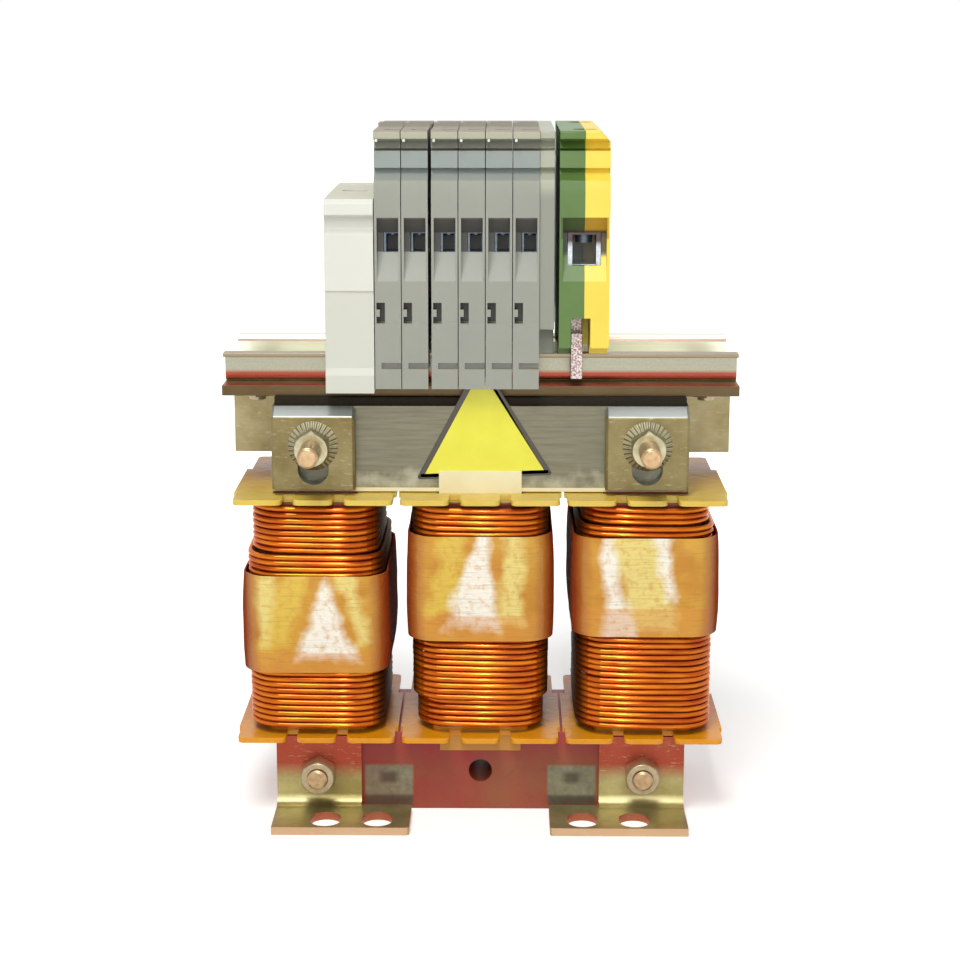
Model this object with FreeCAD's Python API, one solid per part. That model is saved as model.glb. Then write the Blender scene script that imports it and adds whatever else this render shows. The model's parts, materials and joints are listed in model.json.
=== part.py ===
import FreeCAD, Part
import math
import os

# Three-phase motor choke: an E-shaped laminated core with an upper yoke over an air gap,
# three wound bobbins, sheet-steel feet, and a rail with terminals above the core.
# Frame: X along the core, Y away from the terminal entries seen in front, Z up.
# Origin: middle of the core's footprint, on the plane that the feet stand on. Millimetres.

V = FreeCAD.Vector
X_AXIS = V(1, 0, 0)
Y_AXIS = V(0, 1, 0)
Z_AXIS = V(0, 0, 1)

# Core, silicon-steel laminations
limb_w = 20.0
limb_pitch = 40.0
window_h = 61.0
yoke_h = 20.0
stack = 35.0
gap_sheet_t = 1.0
core_hole_r = 2.85

# Bobbins, moulded, one on each limb
bobbin_wall = 1.5
bobbin_side_clear = 0.3
bobbin_face_clear = 0.6
bobbin_top_clear = 0.3
bobbin_corner_r = 1.6
flange_t = 1.3
flange_gap = 0.6
flange_over = 1.65
flange_corner_r = 1.6
front_relief = 0.6
front_relief_l = 9.0
rear_relief = 1.3
rear_relief_l = 16.0
tab_notch_w = 2.7
tab_notch_l = 6.5
tab_notch_pitch = 12.2

# Windings, enamelled copper wire in layers
wire_d = 1.4
wire_layers = 4
turn_pitch = 1.42
turn_groove = 0.38
winding_margin_low = 1.1
winding_margin_top = 0.4
winding_end_step = 1.2

# Each coil: its tape band as shares of the coil's height, and the turns of its last layer that
# stop short at the bottom and at the top
coil_builds = {
    "left": {"tape": (0.269, 0.694), "low_turns": 0, "top_turns": 8},
    "centre": {"tape": (0.412, 0.869), "low_turns": 5, "top_turns": 0},
    "right": {"tape": (0.433, 0.864), "low_turns": 0, "top_turns": 3},
}
tape_t = 0.45
tape_bulge = 0.7

# Paper strip wedged between the middle limb and its bobbin
strip_t = 0.5
strip_below = 4.6
strip_above = 4.2

# M5 fasteners
bolt_r = 2.5
bolt_clear = 0.25
nut_af = 8.0
nut_h = 4.7
nut_flange_r = 6.0
nut_flange_t = 1.2
head_h = 3.5
washer_r = 5.0
washer_t = 1.0
lower_bolt_out = 1.3
upper_bolt_out = 9.6
bolt_inset = 10.0
upper_bolt_rise = 11.0

# Foot brackets, pressed steel
foot_t = 2.0
foot_washer_clear = 0.2
foot_leg_w = 21.0
foot_w = 33.4
foot_reach = 18.5
foot_leg_top_clear = 0.4
foot_gap = 2.6
foot_side = 0.4
slot_w = 7.4
slot_l = 9.4
slot_back = 12.8
slot_inner_x = 25.0
slot_outer_x = 37.6

# Clamp pads on the front of the upper yoke
clamp_w = 20.0
clamp_t = 4.0
clamp_clear = 0.3
clamp_bevel_h = 1.9
clamp_side_r = 0.6
clamp_slot_w = 7.4
clamp_slot_rim = 1.2

# Spacer strip, rail bracket and rail
spacer_t = 2.0
spacer_inset = 0.5
spacer_setback = 0.7
bracket_t = 2.5
bracket_over = 12.3
bracket_leg_over = 1.2
bracket_front = 2.5
bracket_drop = 20.2
bracket_bend_r = 0.6
rail_w = 35.0
rail_h = 7.5
rail_t = 1.0
rail_channel_w = 27.0
rail_bend_r = 0.6
rail_inset = 0.1
rail_forward = 2.5
rail_screw_inset = 6.2
rail_screw_r = 2.0
rail_screw_head_r = 3.6
rail_screw_head_h = 2.4
rail_screw_slot_w = 1.0
rail_nut_af = 7.0
rail_nut_h = 3.2
rail_screw_out = 1.0

# Feed-through terminals on the rail
terminal_w = 6.2
terminal_gap = 0.2
terminal_loose_gap = 0.6
terminal_h = 60.9
terminal_depth = 53.0
terminal_start_x = -24.9
seat_clear = 0.2
hook_reach = 1.65
hook_t = 1.6
foot_depth = 3.3
pocket_side = 0.6
pocket_w = 5.1
pocket_depth = 4.5
pocket_low = 25.7
pocket_high = 41.1
entry_side = 2.5
entry_w = 3.2
entry_low = 32.5
entry_high = 36.8
metal_clear = 0.1
sleeve_side = 2.1
sleeve_w = 3.9
sleeve_wall = 0.55
sleeve_depth = 6.4
sleeve_top_h = 2.6
bar_t = 1.2
clamp_screw_r = 1.3
clamp_screw_head_r = 1.75
clamp_screw_head_h = 1.6
clamp_screw_bore_r = 2.0
clamp_screw_slot_w = 0.7
jumper_w = 4.6
jumper_depth = 7.0
jumper_wall = 1.7
ridge_h = 0.8
face_setback = 0.8
block_foot_low = 0.3
screw_room = 0.8
terminal_screw_l = 3.2
label_slot_left = 0.4
label_slot_w = 2.0
label_slot_depth = 3.5
label_slot_low = 15.9
label_slot_high = 20.8
nib_w = 0.9
nib_depth = 3.0
nib_h = 1.7
foot_groove_left = 1.5
foot_groove_depth = 1.4
foot_groove_low = 5.1
foot_groove_high = 6.5
rear_wall = 1.0

# End plate, earth terminal and end block
end_plate_t = 3.6
end_plate_inset = 1.5
end_plate_low = 14.3
earth_gap = 1.1
earth_half_w = 5.95
earth_low = 10.0
earth_pocket_w = 10.3
earth_window_w = 7.8
earth_window_low = 29.4
earth_window_high = 36.5
earth_notch_left = 3.1
earth_notch_right = 1.5
earth_notch_h = 7.1
earth_chamfer = 2.6
earth_strap_clear = 0.15
earth_post_t = 1.6
earth_cage_side = 1.1
earth_cage_floor = 1.1
earth_cage_top = 3.1
earth_cage_depth = 8.2
earth_room_clear = 0.1
earth_bar_w = 6.0
earth_bar_t = 1.4
earth_strap_t = 2.8
earth_strap_low = 1.8
earth_strap_high = 12.9
earth_strap_reach = 3.2
earth_lip_clear = 0.6
earth_jaw_t = 1.8
earth_screw_r = 2.0
earth_screw_head_r = 2.7
earth_screw_l = 5.2
earth_screw_bore_r = 2.9
end_block_w = 11.6
end_block_h = 45.15
end_block_hang = 0.8
end_block_groove = 0.6
end_block_grooves = (22.5, 31.9)
end_block_bore_r = 3.2
end_block_screw_head_r = 3.0
end_block_wall = 5.5
end_block_floor = 2.0
end_block_screw_r = 2.0
end_block_screw_deep = 14.0

# Heights and faces that follow from the sizes above
core_w = 2 * limb_pitch + limb_w
front_face = -stack / 2
rear_face = stack / 2
limb_top = yoke_h + window_h
upper_low = limb_top + gap_sheet_t
upper_top = upper_low + yoke_h
bracket_low = upper_top + spacer_t
rail_base = bracket_low + bracket_t
lip_top = rail_base + rail_h
bracket_l = core_w + 2 * bracket_over
bracket_leg_l = bracket_l + 2 * bracket_leg_over
rail_l = bracket_l - 2 * rail_inset
rail_screw_x = rail_l / 2 - rail_screw_inset
bolt_x = core_w / 2 - bolt_inset
lower_bolt_z = yoke_h / 2
foot_bend_r = lower_bolt_z - washer_r - foot_t - foot_washer_clear
upper_bolt_z = upper_low + upper_bolt_rise
hole_r = bolt_r + bolt_clear
wire_build = wire_d * (1 + (wire_layers - 1) * math.sqrt(3) / 2)
tube_half_x = limb_w / 2 + bobbin_side_clear + bobbin_wall
tube_half_y = stack / 2 + bobbin_face_clear + bobbin_wall
coil_half_x = tube_half_x + wire_build
coil_half_y = tube_half_y + wire_build
coil_corner_r = bobbin_corner_r + wire_build
flange_half_y = coil_half_y + flange_over
bobbin_top = limb_top - bobbin_top_clear
coil_low = yoke_h + flange_t + winding_margin_low
coil_top = bobbin_top - flange_t - winding_margin_top
bracket_front_y = front_face + bracket_front
rail_y = bracket_front_y + rail_forward + rail_w / 2
block_front = rail_y - terminal_depth / 2


def box(low, high):
    """Box between two corners."""
    size = V(*high) - V(*low)
    return Part.makeBox(size.x, size.y, size.z, V(*low))


def rod(radius, start, end):
    """Round bar between two points."""
    along = end - start
    return Part.makeCylinder(radius, along.Length, start, along)


def outline(corners, place):
    """Closed wire through (u, v, radius) corners; place turns u, v into a point."""
    joints = []
    for index, (u, v, radius) in enumerate(corners):
        here = place(u, v)
        before = place(*corners[index - 1][:2])
        after = place(*corners[(index + 1) % len(corners)][:2])
        if radius == 0:
            joints.append((here, here, here))
            continue
        back = (before - here).normalize()
        ahead = (after - here).normalize()
        half = back.getAngle(ahead) / 2
        middle = (back + ahead).normalize()
        cut = radius / math.tan(half)
        bulge = radius / math.sin(half) - radius
        joints.append((here + back * cut, here + middle * bulge, here + ahead * cut))
    edges = []
    for index, (enter, middle, leave) in enumerate(joints):
        if (leave - enter).Length > 1e-6:
            edges.append(Part.Arc(enter, middle, leave).toShape())
        following = joints[(index + 1) % len(joints)][0]
        if (following - leave).Length > 1e-6:
            edges.append(Part.makeLine(leave, following))
    return Part.Wire(edges)


def prism_x(corners, x_low, x_high):
    """Solid with a (y, z, radius) outline, extruded along X."""
    wire = outline(corners, lambda y, z: V(x_low, y, z))
    return Part.Face(wire).extrude(V(x_high - x_low, 0, 0))


def prism_y(corners, y_low, y_high):
    """Solid with an (x, z, radius) outline, extruded along Y."""
    wire = outline(corners, lambda x, z: V(x, y_low, z))
    return Part.Face(wire).extrude(V(0, y_high - y_low, 0))


def prism_z(corners, z_low, z_high):
    """Solid with an (x, y, radius) outline, extruded along Z."""
    wire = outline(corners, lambda x, y: V(x, y, z_low))
    return Part.Face(wire).extrude(V(0, 0, z_high - z_low))


def rectangle(u_low, u_high, v_low, v_high, radius=0.0):
    """Corners of a rectangle for outline."""
    return [
        (u_low, v_low, radius), (u_high, v_low, radius),
        (u_high, v_high, radius), (u_low, v_high, radius)]


def mirrored_y(shape, plane_y=0.0):
    """Copy of a shape mirrored in a plane across Y."""
    return shape.mirror(V(0, plane_y, 0), Y_AXIS)


def mirrored_x(shape):
    """Copy of a shape mirrored in the middle plane of the core."""
    return shape.mirror(V(0, 0, 0), X_AXIS)


def hexagon(across_flats, centre, length, along):
    """Hexagonal bar with a corner up, from centre along a Y or Z direction."""
    corner_r = across_flats / math.sqrt(3)
    side = X_AXIS
    up = along.cross(side)
    points = []
    for step in range(7):
        angle = math.radians(90 + 60 * step)
        points.append(centre + side * (corner_r * math.cos(angle)) + up * (corner_r * math.sin(angle)))
    return Part.Face(Part.makePolygon(points)).extrude(along * length)


def ring(section, half_x, half_y, radius, centre_x):
    """Closed ring: a section in (offset, z) led round a rectangle with rounded corners."""
    corner_x = half_x - radius
    corner_y = half_y - radius
    corners = [(corner_x, corner_y), (-corner_x, corner_y), (-corner_x, -corner_y), (corner_x, -corner_y)]
    faces = []
    for quarter, (x, y) in enumerate(corners):
        pivot = V(centre_x + x, y, 0)
        start = section.copy()
        start.translate(V(radius, 0, 0))
        start.rotate(V(0, 0, 0), Z_AXIS, 90 * quarter)
        start.translate(pivot)
        faces += start.revolve(pivot, Z_AXIS, 90).Faces
        start.rotate(pivot, Z_AXIS, 90)
        next_x, next_y = corners[(quarter + 1) % 4]
        faces += start.extrude(V(next_x - x, next_y - y, 0)).Faces
    shell = Part.makeShell(faces)
    shell.sewShape()
    solid = Part.makeSolid(shell)
    if solid.Volume < 0:
        solid.reverse()
    return solid


def lower_core():
    """E piece: lower yoke and three limbs, one stack of laminations."""
    half = core_w / 2
    body = box((-half, front_face, 0), (half, rear_face, yoke_h))
    for limb in (-1, 0, 1):
        x = limb * limb_pitch
        body = body.fuse(box((x - limb_w / 2, front_face, 0), (x + limb_w / 2, rear_face, limb_top)))
    body = body.removeSplitter()
    for x, radius in ((-bolt_x, hole_r), (0, core_hole_r), (bolt_x, hole_r)):
        body = body.cut(rod(radius, V(x, front_face - 1, lower_bolt_z), V(x, rear_face + 1, lower_bolt_z)))
    return body


def upper_yoke():
    """Straight yoke above the air gap."""
    half = core_w / 2
    body = box((-half, front_face, upper_low), (half, rear_face, upper_top))
    for x in (-bolt_x, bolt_x):
        body = body.cut(rod(hole_r, V(x, front_face - 1, upper_bolt_z), V(x, rear_face + 1, upper_bolt_z)))
    return body


def air_gap_sheet():
    """Insulating sheet that sets the air gap."""
    half = core_w / 2
    return box((-half, front_face, limb_top), (half, rear_face, upper_low))


def bobbin_flange(z_low):
    """One flange: relieved at its corners, so that neighbours clear, and toothed at both ends."""
    half_x = (limb_pitch - flange_gap) / 2
    low = z_low - 1
    high = z_low + flange_t + 1
    body = box((-half_x, -flange_half_y, z_low), (half_x, flange_half_y, z_low + flange_t))
    front_relief_box = box((half_x - front_relief, -flange_half_y - 1, low),
                           (half_x + 1, -flange_half_y + front_relief_l, high))
    rear_relief_box = box((half_x - rear_relief, flange_half_y - rear_relief_l, low),
                          (half_x + 1, flange_half_y + 1, high))
    notch = box((tab_notch_pitch / 2 - tab_notch_w / 2, -flange_half_y - 1, low),
                (tab_notch_pitch / 2 + tab_notch_w / 2, -flange_half_y + tab_notch_l, high))
    for piece in (front_relief_box, rear_relief_box, notch, mirrored_y(notch)):
        body = body.cut(piece).cut(mirrored_x(piece))
    corners = []
    for edge in body.Edges:
        upright = abs(edge.tangentAt(edge.FirstParameter).z) > 0.9
        if upright and abs(abs(edge.CenterOfMass.y) - flange_half_y) < 1e-4:
            corners.append(edge)
    return body.makeFillet(flange_corner_r, corners)


def bobbin(centre_x):
    """Moulded tube with a flange at each end, slipped over its limb."""
    body = prism_z(
        rectangle(-tube_half_x, tube_half_x, -tube_half_y, tube_half_y, bobbin_corner_r), yoke_h, bobbin_top)
    body = body.fuse(bobbin_flange(yoke_h)).fuse(bobbin_flange(bobbin_top - flange_t))
    hole_x = limb_w / 2 + bobbin_side_clear
    hole_y = stack / 2 + bobbin_face_clear
    body = body.cut(box((-hole_x, -hole_y, yoke_h - 1), (hole_x, hole_y, bobbin_top + 1)))
    body = body.removeSplitter()
    body.translate(V(centre_x, 0, 0))
    return body


def tape_edges(build):
    """Height of the lowest and the highest edge of a coil's tape band."""
    low, high = build["tape"]
    height = coil_top - coil_low
    return coil_low + low * height, coil_low + high * height


def winding(centre_x, build):
    """Layered coil: a groove between turns where the wire shows, plain under the tape."""
    tape_low, tape_high = tape_edges(build)
    turns = int((coil_top - coil_low) / turn_pitch)
    pitch = (coil_top - coil_low) / turns
    points = [V(-wire_build, 0, coil_low)]
    for turn in range(turns):
        low = coil_low + turn * pitch
        crest = low + pitch / 2
        last_layer = build["low_turns"] <= turn < turns - build["top_turns"]
        surface = 0.0 if last_layer else -winding_end_step
        if crest < tape_low or crest > tape_high:
            points.append(V(surface - turn_groove, 0, low))
            points.append(V(surface, 0, crest))
            points.append(V(surface - turn_groove, 0, low + pitch))
        elif crest - pitch < tape_low:
            points.append(V(surface - turn_groove, 0, low))
            points.append(V(surface, 0, crest))
        elif crest + pitch > tape_high:
            points.append(V(surface, 0, crest))
            points.append(V(surface - turn_groove, 0, low + pitch))
    points = [point for point, before in zip(points, [V(0, 0, 0)] + points)
              if (point - before).Length > 1e-6]
    points.append(V(-wire_build, 0, coil_top))
    points.append(points[0])
    return ring(Part.makePolygon(points), coil_half_x, coil_half_y, coil_corner_r, centre_x)


def tape(centre_x, build):
    """Band of tape round a coil, bulging in the middle."""
    low, high = tape_edges(build)
    middle = (low + high) / 2
    section = Part.Wire([
        Part.makeLine(V(0, 0, low), V(tape_t, 0, low)),
        Part.Arc(V(tape_t, 0, low), V(tape_t + tape_bulge, 0, middle), V(tape_t, 0, high)).toShape(),
        Part.makeLine(V(tape_t, 0, high), V(0, 0, high)),
        Part.makeLine(V(0, 0, high), V(0, 0, low)),
    ])
    return ring(section, coil_half_x, coil_half_y, coil_corner_r, centre_x)


def limb_strip():
    """Paper strip in front of the middle limb, standing out above and below the bobbin."""
    return box((-limb_w / 2, front_face - strip_t, yoke_h - strip_below),
               (limb_w / 2, front_face, upper_low + strip_above))


def foot():
    """Pressed angle on the front of the lower yoke, left side, with two slots in its foot."""
    left = -core_w / 2 - foot_side
    leg_right = left + foot_leg_w
    toe = front_face - foot_reach
    face = front_face - foot_t
    leg_top = yoke_h - foot_leg_top_clear
    body = prism_x([
        (toe, 0, 0), (front_face, 0, foot_bend_r + foot_t), (front_face, leg_top, 0),
        (face, leg_top, 0), (face, foot_t, foot_bend_r), (toe, foot_t, 0)], left, leg_right)
    extension = prism_z([
        (leg_right - 1, toe, 0), (left + foot_w, toe, 1.0), (left + foot_w, front_face - foot_gap, 1.0),
        (leg_right - 1, front_face - foot_gap, 0)], 0, foot_t)
    extension = extension.cut(box((leg_right - 2, front_face - foot_bend_r - foot_t, -1),
                                  (leg_right, front_face, foot_t + 1)))
    body = body.fuse(extension).removeSplitter()
    middle_y = front_face - slot_back
    for x in (-slot_inner_x, -slot_outer_x):
        body = body.cut(prism_z(
            rectangle(x - slot_w / 2, x + slot_w / 2, middle_y - slot_l / 2, middle_y + slot_l / 2,
                      slot_w / 2 - 0.001), -1, foot_t + 1))
    return body.cut(rod(hole_r, V(-bolt_x, face - 1, lower_bolt_z), V(-bolt_x, front_face + 1, lower_bolt_z)))


def bolt(x, z, tip_y, head_y):
    """Hexagon bolt lying along Y, head at the rear."""
    shank = rod(bolt_r, V(x, tip_y, z), V(x, head_y, z))
    tip = [edge for edge in shank.Edges if abs(edge.CenterOfMass.y - tip_y) < 1e-6]
    shank = shank.makeChamfer(bolt_r * 0.2, tip)
    return shank.fuse(hexagon(nut_af, V(x, head_y, z), head_h, Y_AXIS)).removeSplitter()


def nut(x, z, seat_y, flange_t_value=0.0):
    """Hexagon nut seated at seat_y on the front side, with an optional flange."""
    outward = V(0, -1, 0)
    body = hexagon(nut_af, V(x, seat_y - flange_t_value, z), nut_h, outward)
    rounding = Part.makeCone(
        nut_af * 0.72, nut_af * 0.46, nut_h + 0.6, V(x, seat_y - flange_t_value, z), outward)
    body = body.common(rounding)
    if flange_t_value > 0:
        flange = Part.makeCone(nut_flange_r, nut_af / 2, flange_t_value + 0.4, V(x, seat_y, z), outward)
        body = body.fuse(flange).removeSplitter()
    return body.cut(rod(bolt_r, V(x, seat_y + 1, z), V(x, seat_y - nut_h - flange_t_value - 1, z)))


def washer(x, z, seat_y):
    """Plain washer under a bolt head at the rear."""
    disc = rod(washer_r, V(x, seat_y, z), V(x, seat_y + washer_t, z))
    return disc.cut(rod(hole_r, V(x, seat_y - 1, z), V(x, seat_y + washer_t + 1, z)))


def clamp_pad():
    """Steel pad on the front of the upper yoke, left side, with a slot for the bolt."""
    left = -core_w / 2
    right = left + clamp_w
    face = front_face - clamp_t
    low = upper_low + clamp_clear
    body = prism_x([
        (face, low, 0), (front_face, low, 0), (front_face, upper_top, 0),
        (face, upper_top - clamp_bevel_h, 0.8)], left, right)
    sides = []
    for edge in body.Edges:
        middle = edge.CenterOfMass
        if abs(middle.y - face) < 1e-4 and abs(edge.tangentAt(edge.FirstParameter).z) > 0.9:
            sides.append(edge)
    body = body.makeChamfer(clamp_side_r, sides)
    slot = prism_y(
        rectangle(-bolt_x - clamp_slot_w / 2, -bolt_x + clamp_slot_w / 2, low + clamp_slot_rim,
                  upper_bolt_z + clamp_slot_w / 2, clamp_slot_w / 2 - 0.001), face - 1, front_face + 1)
    return body.cut(slot)


def spacer():
    """Dark insulating strip between the upper yoke and the rail bracket."""
    half = core_w / 2 - spacer_inset
    return box((-half, front_face + spacer_setback, upper_top),
               (half, rear_face - spacer_setback, bracket_low))


def rail_bracket():
    """Folded angle that lies over the spacer and hangs down behind the upper yoke."""
    half = bracket_leg_l / 2
    leg = rear_face + bracket_t
    body = prism_x([
        (bracket_front_y, bracket_low, 0), (rear_face, bracket_low, bracket_bend_r),
        (rear_face, bracket_low - bracket_drop, 0), (leg, bracket_low - bracket_drop, 0),
        (leg, rail_base, bracket_bend_r + bracket_t), (bracket_front_y, rail_base, 0)], -half, half)
    shelf_rear = rear_face - bracket_bend_r
    for side in (-1, 1):
        body = body.cut(box((min(side * bracket_l / 2, side * half), bracket_front_y - 1, bracket_low - 1),
                            (max(side * bracket_l / 2, side * half), shelf_rear, rail_base + 1)))
    for side in (-1, 1):
        x = side * bolt_x
        body = body.cut(rod(hole_r, V(x, rear_face - 1, upper_bolt_z), V(x, leg + 1, upper_bolt_z)))
        x = side * rail_screw_x
        low = V(x, rail_y, bracket_low - 1)
        body = body.cut(rod(rail_screw_r, low, V(x, rail_y, rail_base + 1)))
    return body


def din_rail():
    """Top-hat rail, open upwards, screwed to the bracket at both ends."""
    half = rail_l / 2
    lip = rail_w / 2
    wall = rail_channel_w / 2
    inner = wall - rail_t
    under = lip_top - rail_t
    bend = rail_bend_r
    body = prism_x([
        (rail_y - wall, rail_base, bend + rail_t), (rail_y + wall, rail_base, bend + rail_t),
        (rail_y + wall, under, bend), (rail_y + lip, under, 0), (rail_y + lip, lip_top, 0),
        (rail_y + inner, lip_top, bend + rail_t), (rail_y + inner, rail_base + rail_t, bend),
        (rail_y - inner, rail_base + rail_t, bend), (rail_y - inner, lip_top, bend + rail_t),
        (rail_y - lip, lip_top, 0), (rail_y - lip, under, 0), (rail_y - wall, under, bend)], -half, half)
    for side in (-1, 1):
        x = side * rail_screw_x
        body = body.cut(rod(rail_screw_r, V(x, rail_y, rail_base - 1), V(x, rail_y, lip_top)))
    return body


def rail_screws():
    """Two pan-head screws that hold the rail down."""
    pieces = []
    for side in (-1, 1):
        x = side * rail_screw_x
        seat = rail_base + rail_t
        tip = V(x, rail_y, bracket_low - rail_nut_h - rail_screw_out)
        shank = rod(rail_screw_r, tip, V(x, rail_y, seat))
        head = rod(rail_screw_head_r, V(x, rail_y, seat), V(x, rail_y, seat + rail_screw_head_h))
        rim = [edge for edge in head.Edges if abs(edge.CenterOfMass.z - seat - rail_screw_head_h) < 1e-6]
        head = head.makeChamfer(rail_screw_head_h * 0.3, rim)
        slot = box((x - rail_screw_head_r, rail_y - rail_screw_slot_w / 2, seat + rail_screw_head_h * 0.5),
                   (x + rail_screw_head_r, rail_y + rail_screw_slot_w / 2, seat + rail_screw_head_h + 1))
        pieces.append(shank.fuse(head.cut(slot)).removeSplitter())
    return Part.makeCompound(pieces)


def rail_nuts():
    """Nuts under the ends of the rail bracket."""
    pieces = []
    for side in (-1, 1):
        centre = V(side * rail_screw_x, rail_y, bracket_low)
        body = hexagon(rail_nut_af, centre, rail_nut_h, V(0, 0, -1))
        pieces.append(body.cut(rod(rail_screw_r, centre + V(0, 0, 1), centre - V(0, 0, rail_nut_h + 1))))
    return Part.makeCompound(pieces)


def block_head(face):
    """Upper front of a block from its plain face up, as (depth, height above the rail base, radius)."""
    top = terminal_h
    return [
        (face, top - 15.0, 0), (face + 0.7, top - 11.5, 0), (face + 2.6, top - 10.1, 0),
        (face + 3.4, top - 8.9, 0), (face + 1.6, top - 8.6, 0), (face + 1.9, top - 4.7, 0),
        (face + 3.4, top - 4.5, 0), (face + 2.6, top - 4.1, 0), (face + 4.0, top - 2.5, 0),
        (face + 0.2, top - 1.8, 0), (face + 0.2, top, 0.5)]


def block_seat(low):
    """Underside of a block from its front to the middle where it only rests on the rail lips."""
    lip_edge = (terminal_depth - rail_w) / 2 - seat_clear
    return [
        (lip_edge, low, 0), (lip_edge, rail_h, 0), (lip_edge + 4.3, rail_h, 0),
        (lip_edge + 6.0, rail_h + 2.4, 0)]


def block_hook(low):
    """Underside of a block from its front foot to the middle, with a nose under the rail lip."""
    lip_edge = (terminal_depth - rail_w) / 2 - seat_clear
    hook_top = rail_h - rail_t - seat_clear
    hook = [
        (foot_depth, low, 0), (foot_depth, hook_top - hook_t, 0),
        (lip_edge + hook_reach, hook_top - hook_t, 0), (lip_edge + hook_reach, hook_top, 0)]
    return hook + block_seat(hook_top)


def closed_outline(front, under):
    """Whole outline of a symmetrical block from its front side and its underside."""
    def flipped(points):
        return [(terminal_depth - depth, height, radius) for depth, height, radius in points]
    points = front + flipped(front[::-1]) + flipped(under) + under[::-1]
    return [(block_front + depth, rail_base + height, radius) for depth, height, radius in points]


def pocket_outline(depth_from):
    """Funnel in front of a wire entry, as a closed (y, z, radius) outline."""
    lead = depth_from + 0.8
    back = lead + pocket_depth - 0.8
    points = [
        (depth_from - 2, pocket_high, 0), (lead + 0.9, pocket_high - 0.4, 0), (back, entry_high + 0.2, 0),
        (back, entry_low - 0.1, 0), (lead - 0.1, pocket_low, 0), (depth_from - 2, pocket_low, 0)]
    return [(block_front + depth, rail_base + height, radius) for depth, height, radius in points]


def terminal(left):
    """Grey terminal housing: open on its right side, where its metal parts go in."""
    right = left + terminal_w
    half_step = face_setback / 2
    front = [
        (0.0, block_foot_low, 0), (0.0, foot_groove_low - 0.2, 0), (half_step, foot_groove_low + 0.1, 0),
        (half_step, label_slot_low - 0.3, 0), (face_setback, label_slot_low, 0)]
    front += block_head(face_setback)
    body = prism_x(closed_outline(front, block_hook(block_foot_low)), left, right)
    ridge_half = jumper_w / 2 + jumper_wall
    body = body.fuse(box((left, rail_y - ridge_half, rail_base + terminal_h - 1),
                         (left + terminal_w, rail_y + ridge_half, rail_base + terminal_h + ridge_h)))
    ridge_top = rail_base + terminal_h + ridge_h
    body = body.cut(box((left + rear_wall, rail_y - jumper_w / 2, ridge_top - jumper_depth),
                        (right + 1, rail_y + jumper_w / 2, ridge_top + 1)))
    screw_x = left + sleeve_side + sleeve_w / 2
    screw_y = block_front + pocket_depth + metal_clear + sleeve_depth / 2
    room_back = pocket_depth + 2 * metal_clear + sleeve_depth
    sleeve_low = entry_low - sleeve_wall - metal_clear
    sleeve_high = entry_high + sleeve_top_h + metal_clear
    head_high = sleeve_high + clamp_screw_head_h + screw_room
    cuts = [
        prism_x(pocket_outline(0.0), left + pocket_side, left + pocket_side + pocket_w),
        box((left + entry_side, block_front + 1, rail_base + entry_low),
            (left + entry_side + entry_w, block_front + pocket_depth + 1, rail_base + entry_high)),
        box((left + sleeve_side - metal_clear, block_front + pocket_depth, rail_base + sleeve_low),
            (left + terminal_w + 1, block_front + room_back, rail_base + sleeve_high)),
        box((screw_x - clamp_screw_bore_r, screw_y - clamp_screw_bore_r, rail_base + sleeve_high - 1),
            (left + terminal_w + 1, screw_y + clamp_screw_bore_r, rail_base + head_high)),
        rod(clamp_screw_bore_r, V(screw_x, screw_y, rail_base + head_high - 1),
            V(screw_x, screw_y, rail_base + terminal_h + 1)),
        box((left + label_slot_left, block_front - 1, rail_base + label_slot_low),
            (left + label_slot_left + label_slot_w, block_front + label_slot_depth,
             rail_base + label_slot_high)),
        box((left + foot_groove_left, block_front - 1, rail_base + foot_groove_low),
            (right + 1, block_front + foot_groove_depth, rail_base + foot_groove_high)),
    ]
    for piece in cuts:
        body = body.cut(piece).cut(mirrored_y(piece, rail_y))
    nib_low = rail_base + (label_slot_low + label_slot_high - nib_h) / 2
    nib_back = block_front + label_slot_depth + 0.1
    nib = box((left + label_slot_left - 0.1, nib_back - nib_depth, nib_low),
              (left + label_slot_left - 0.1 + nib_w, nib_back, nib_low + nib_h))
    body = body.fuse(nib).fuse(mirrored_y(nib, rail_y))
    bar_low = rail_base + entry_high + sleeve_top_h - bar_t - metal_clear
    body = body.cut(box((left + sleeve_side - metal_clear, block_front + room_back - 1, bar_low),
                        (left + terminal_w + 1, block_front + terminal_depth - room_back + 1,
                         bar_low + bar_t + 2 * metal_clear)))
    return body.removeSplitter()


def terminal_clamp(left):
    """Current bar with a clamping sleeve at each end, slid into the housing from the right."""
    sleeve_left = left + sleeve_side
    sleeve_right = sleeve_left + sleeve_w
    near = block_front + pocket_depth + metal_clear
    far = near + sleeve_depth
    top = rail_base + entry_high + sleeve_top_h
    sleeve = box((sleeve_left, near, rail_base + entry_low - sleeve_wall), (sleeve_right, far, top))
    sleeve = sleeve.cut(box((sleeve_left + sleeve_wall, near - 1, rail_base + entry_low),
                            (sleeve_right - sleeve_wall, far + 1, rail_base + entry_high)))
    screw_x = sleeve_left + sleeve_w / 2
    screw_y = near + sleeve_depth / 2
    screw_low = V(screw_x, screw_y, top - sleeve_top_h - 1)
    sleeve = sleeve.cut(rod(clamp_screw_r, screw_low, V(screw_x, screw_y, top + 1)))
    bar = box((sleeve_left, far, top - bar_t), (sleeve_right, 2 * rail_y - far, top))
    return sleeve.fuse(mirrored_y(sleeve, rail_y)).fuse(bar).removeSplitter()


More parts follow.
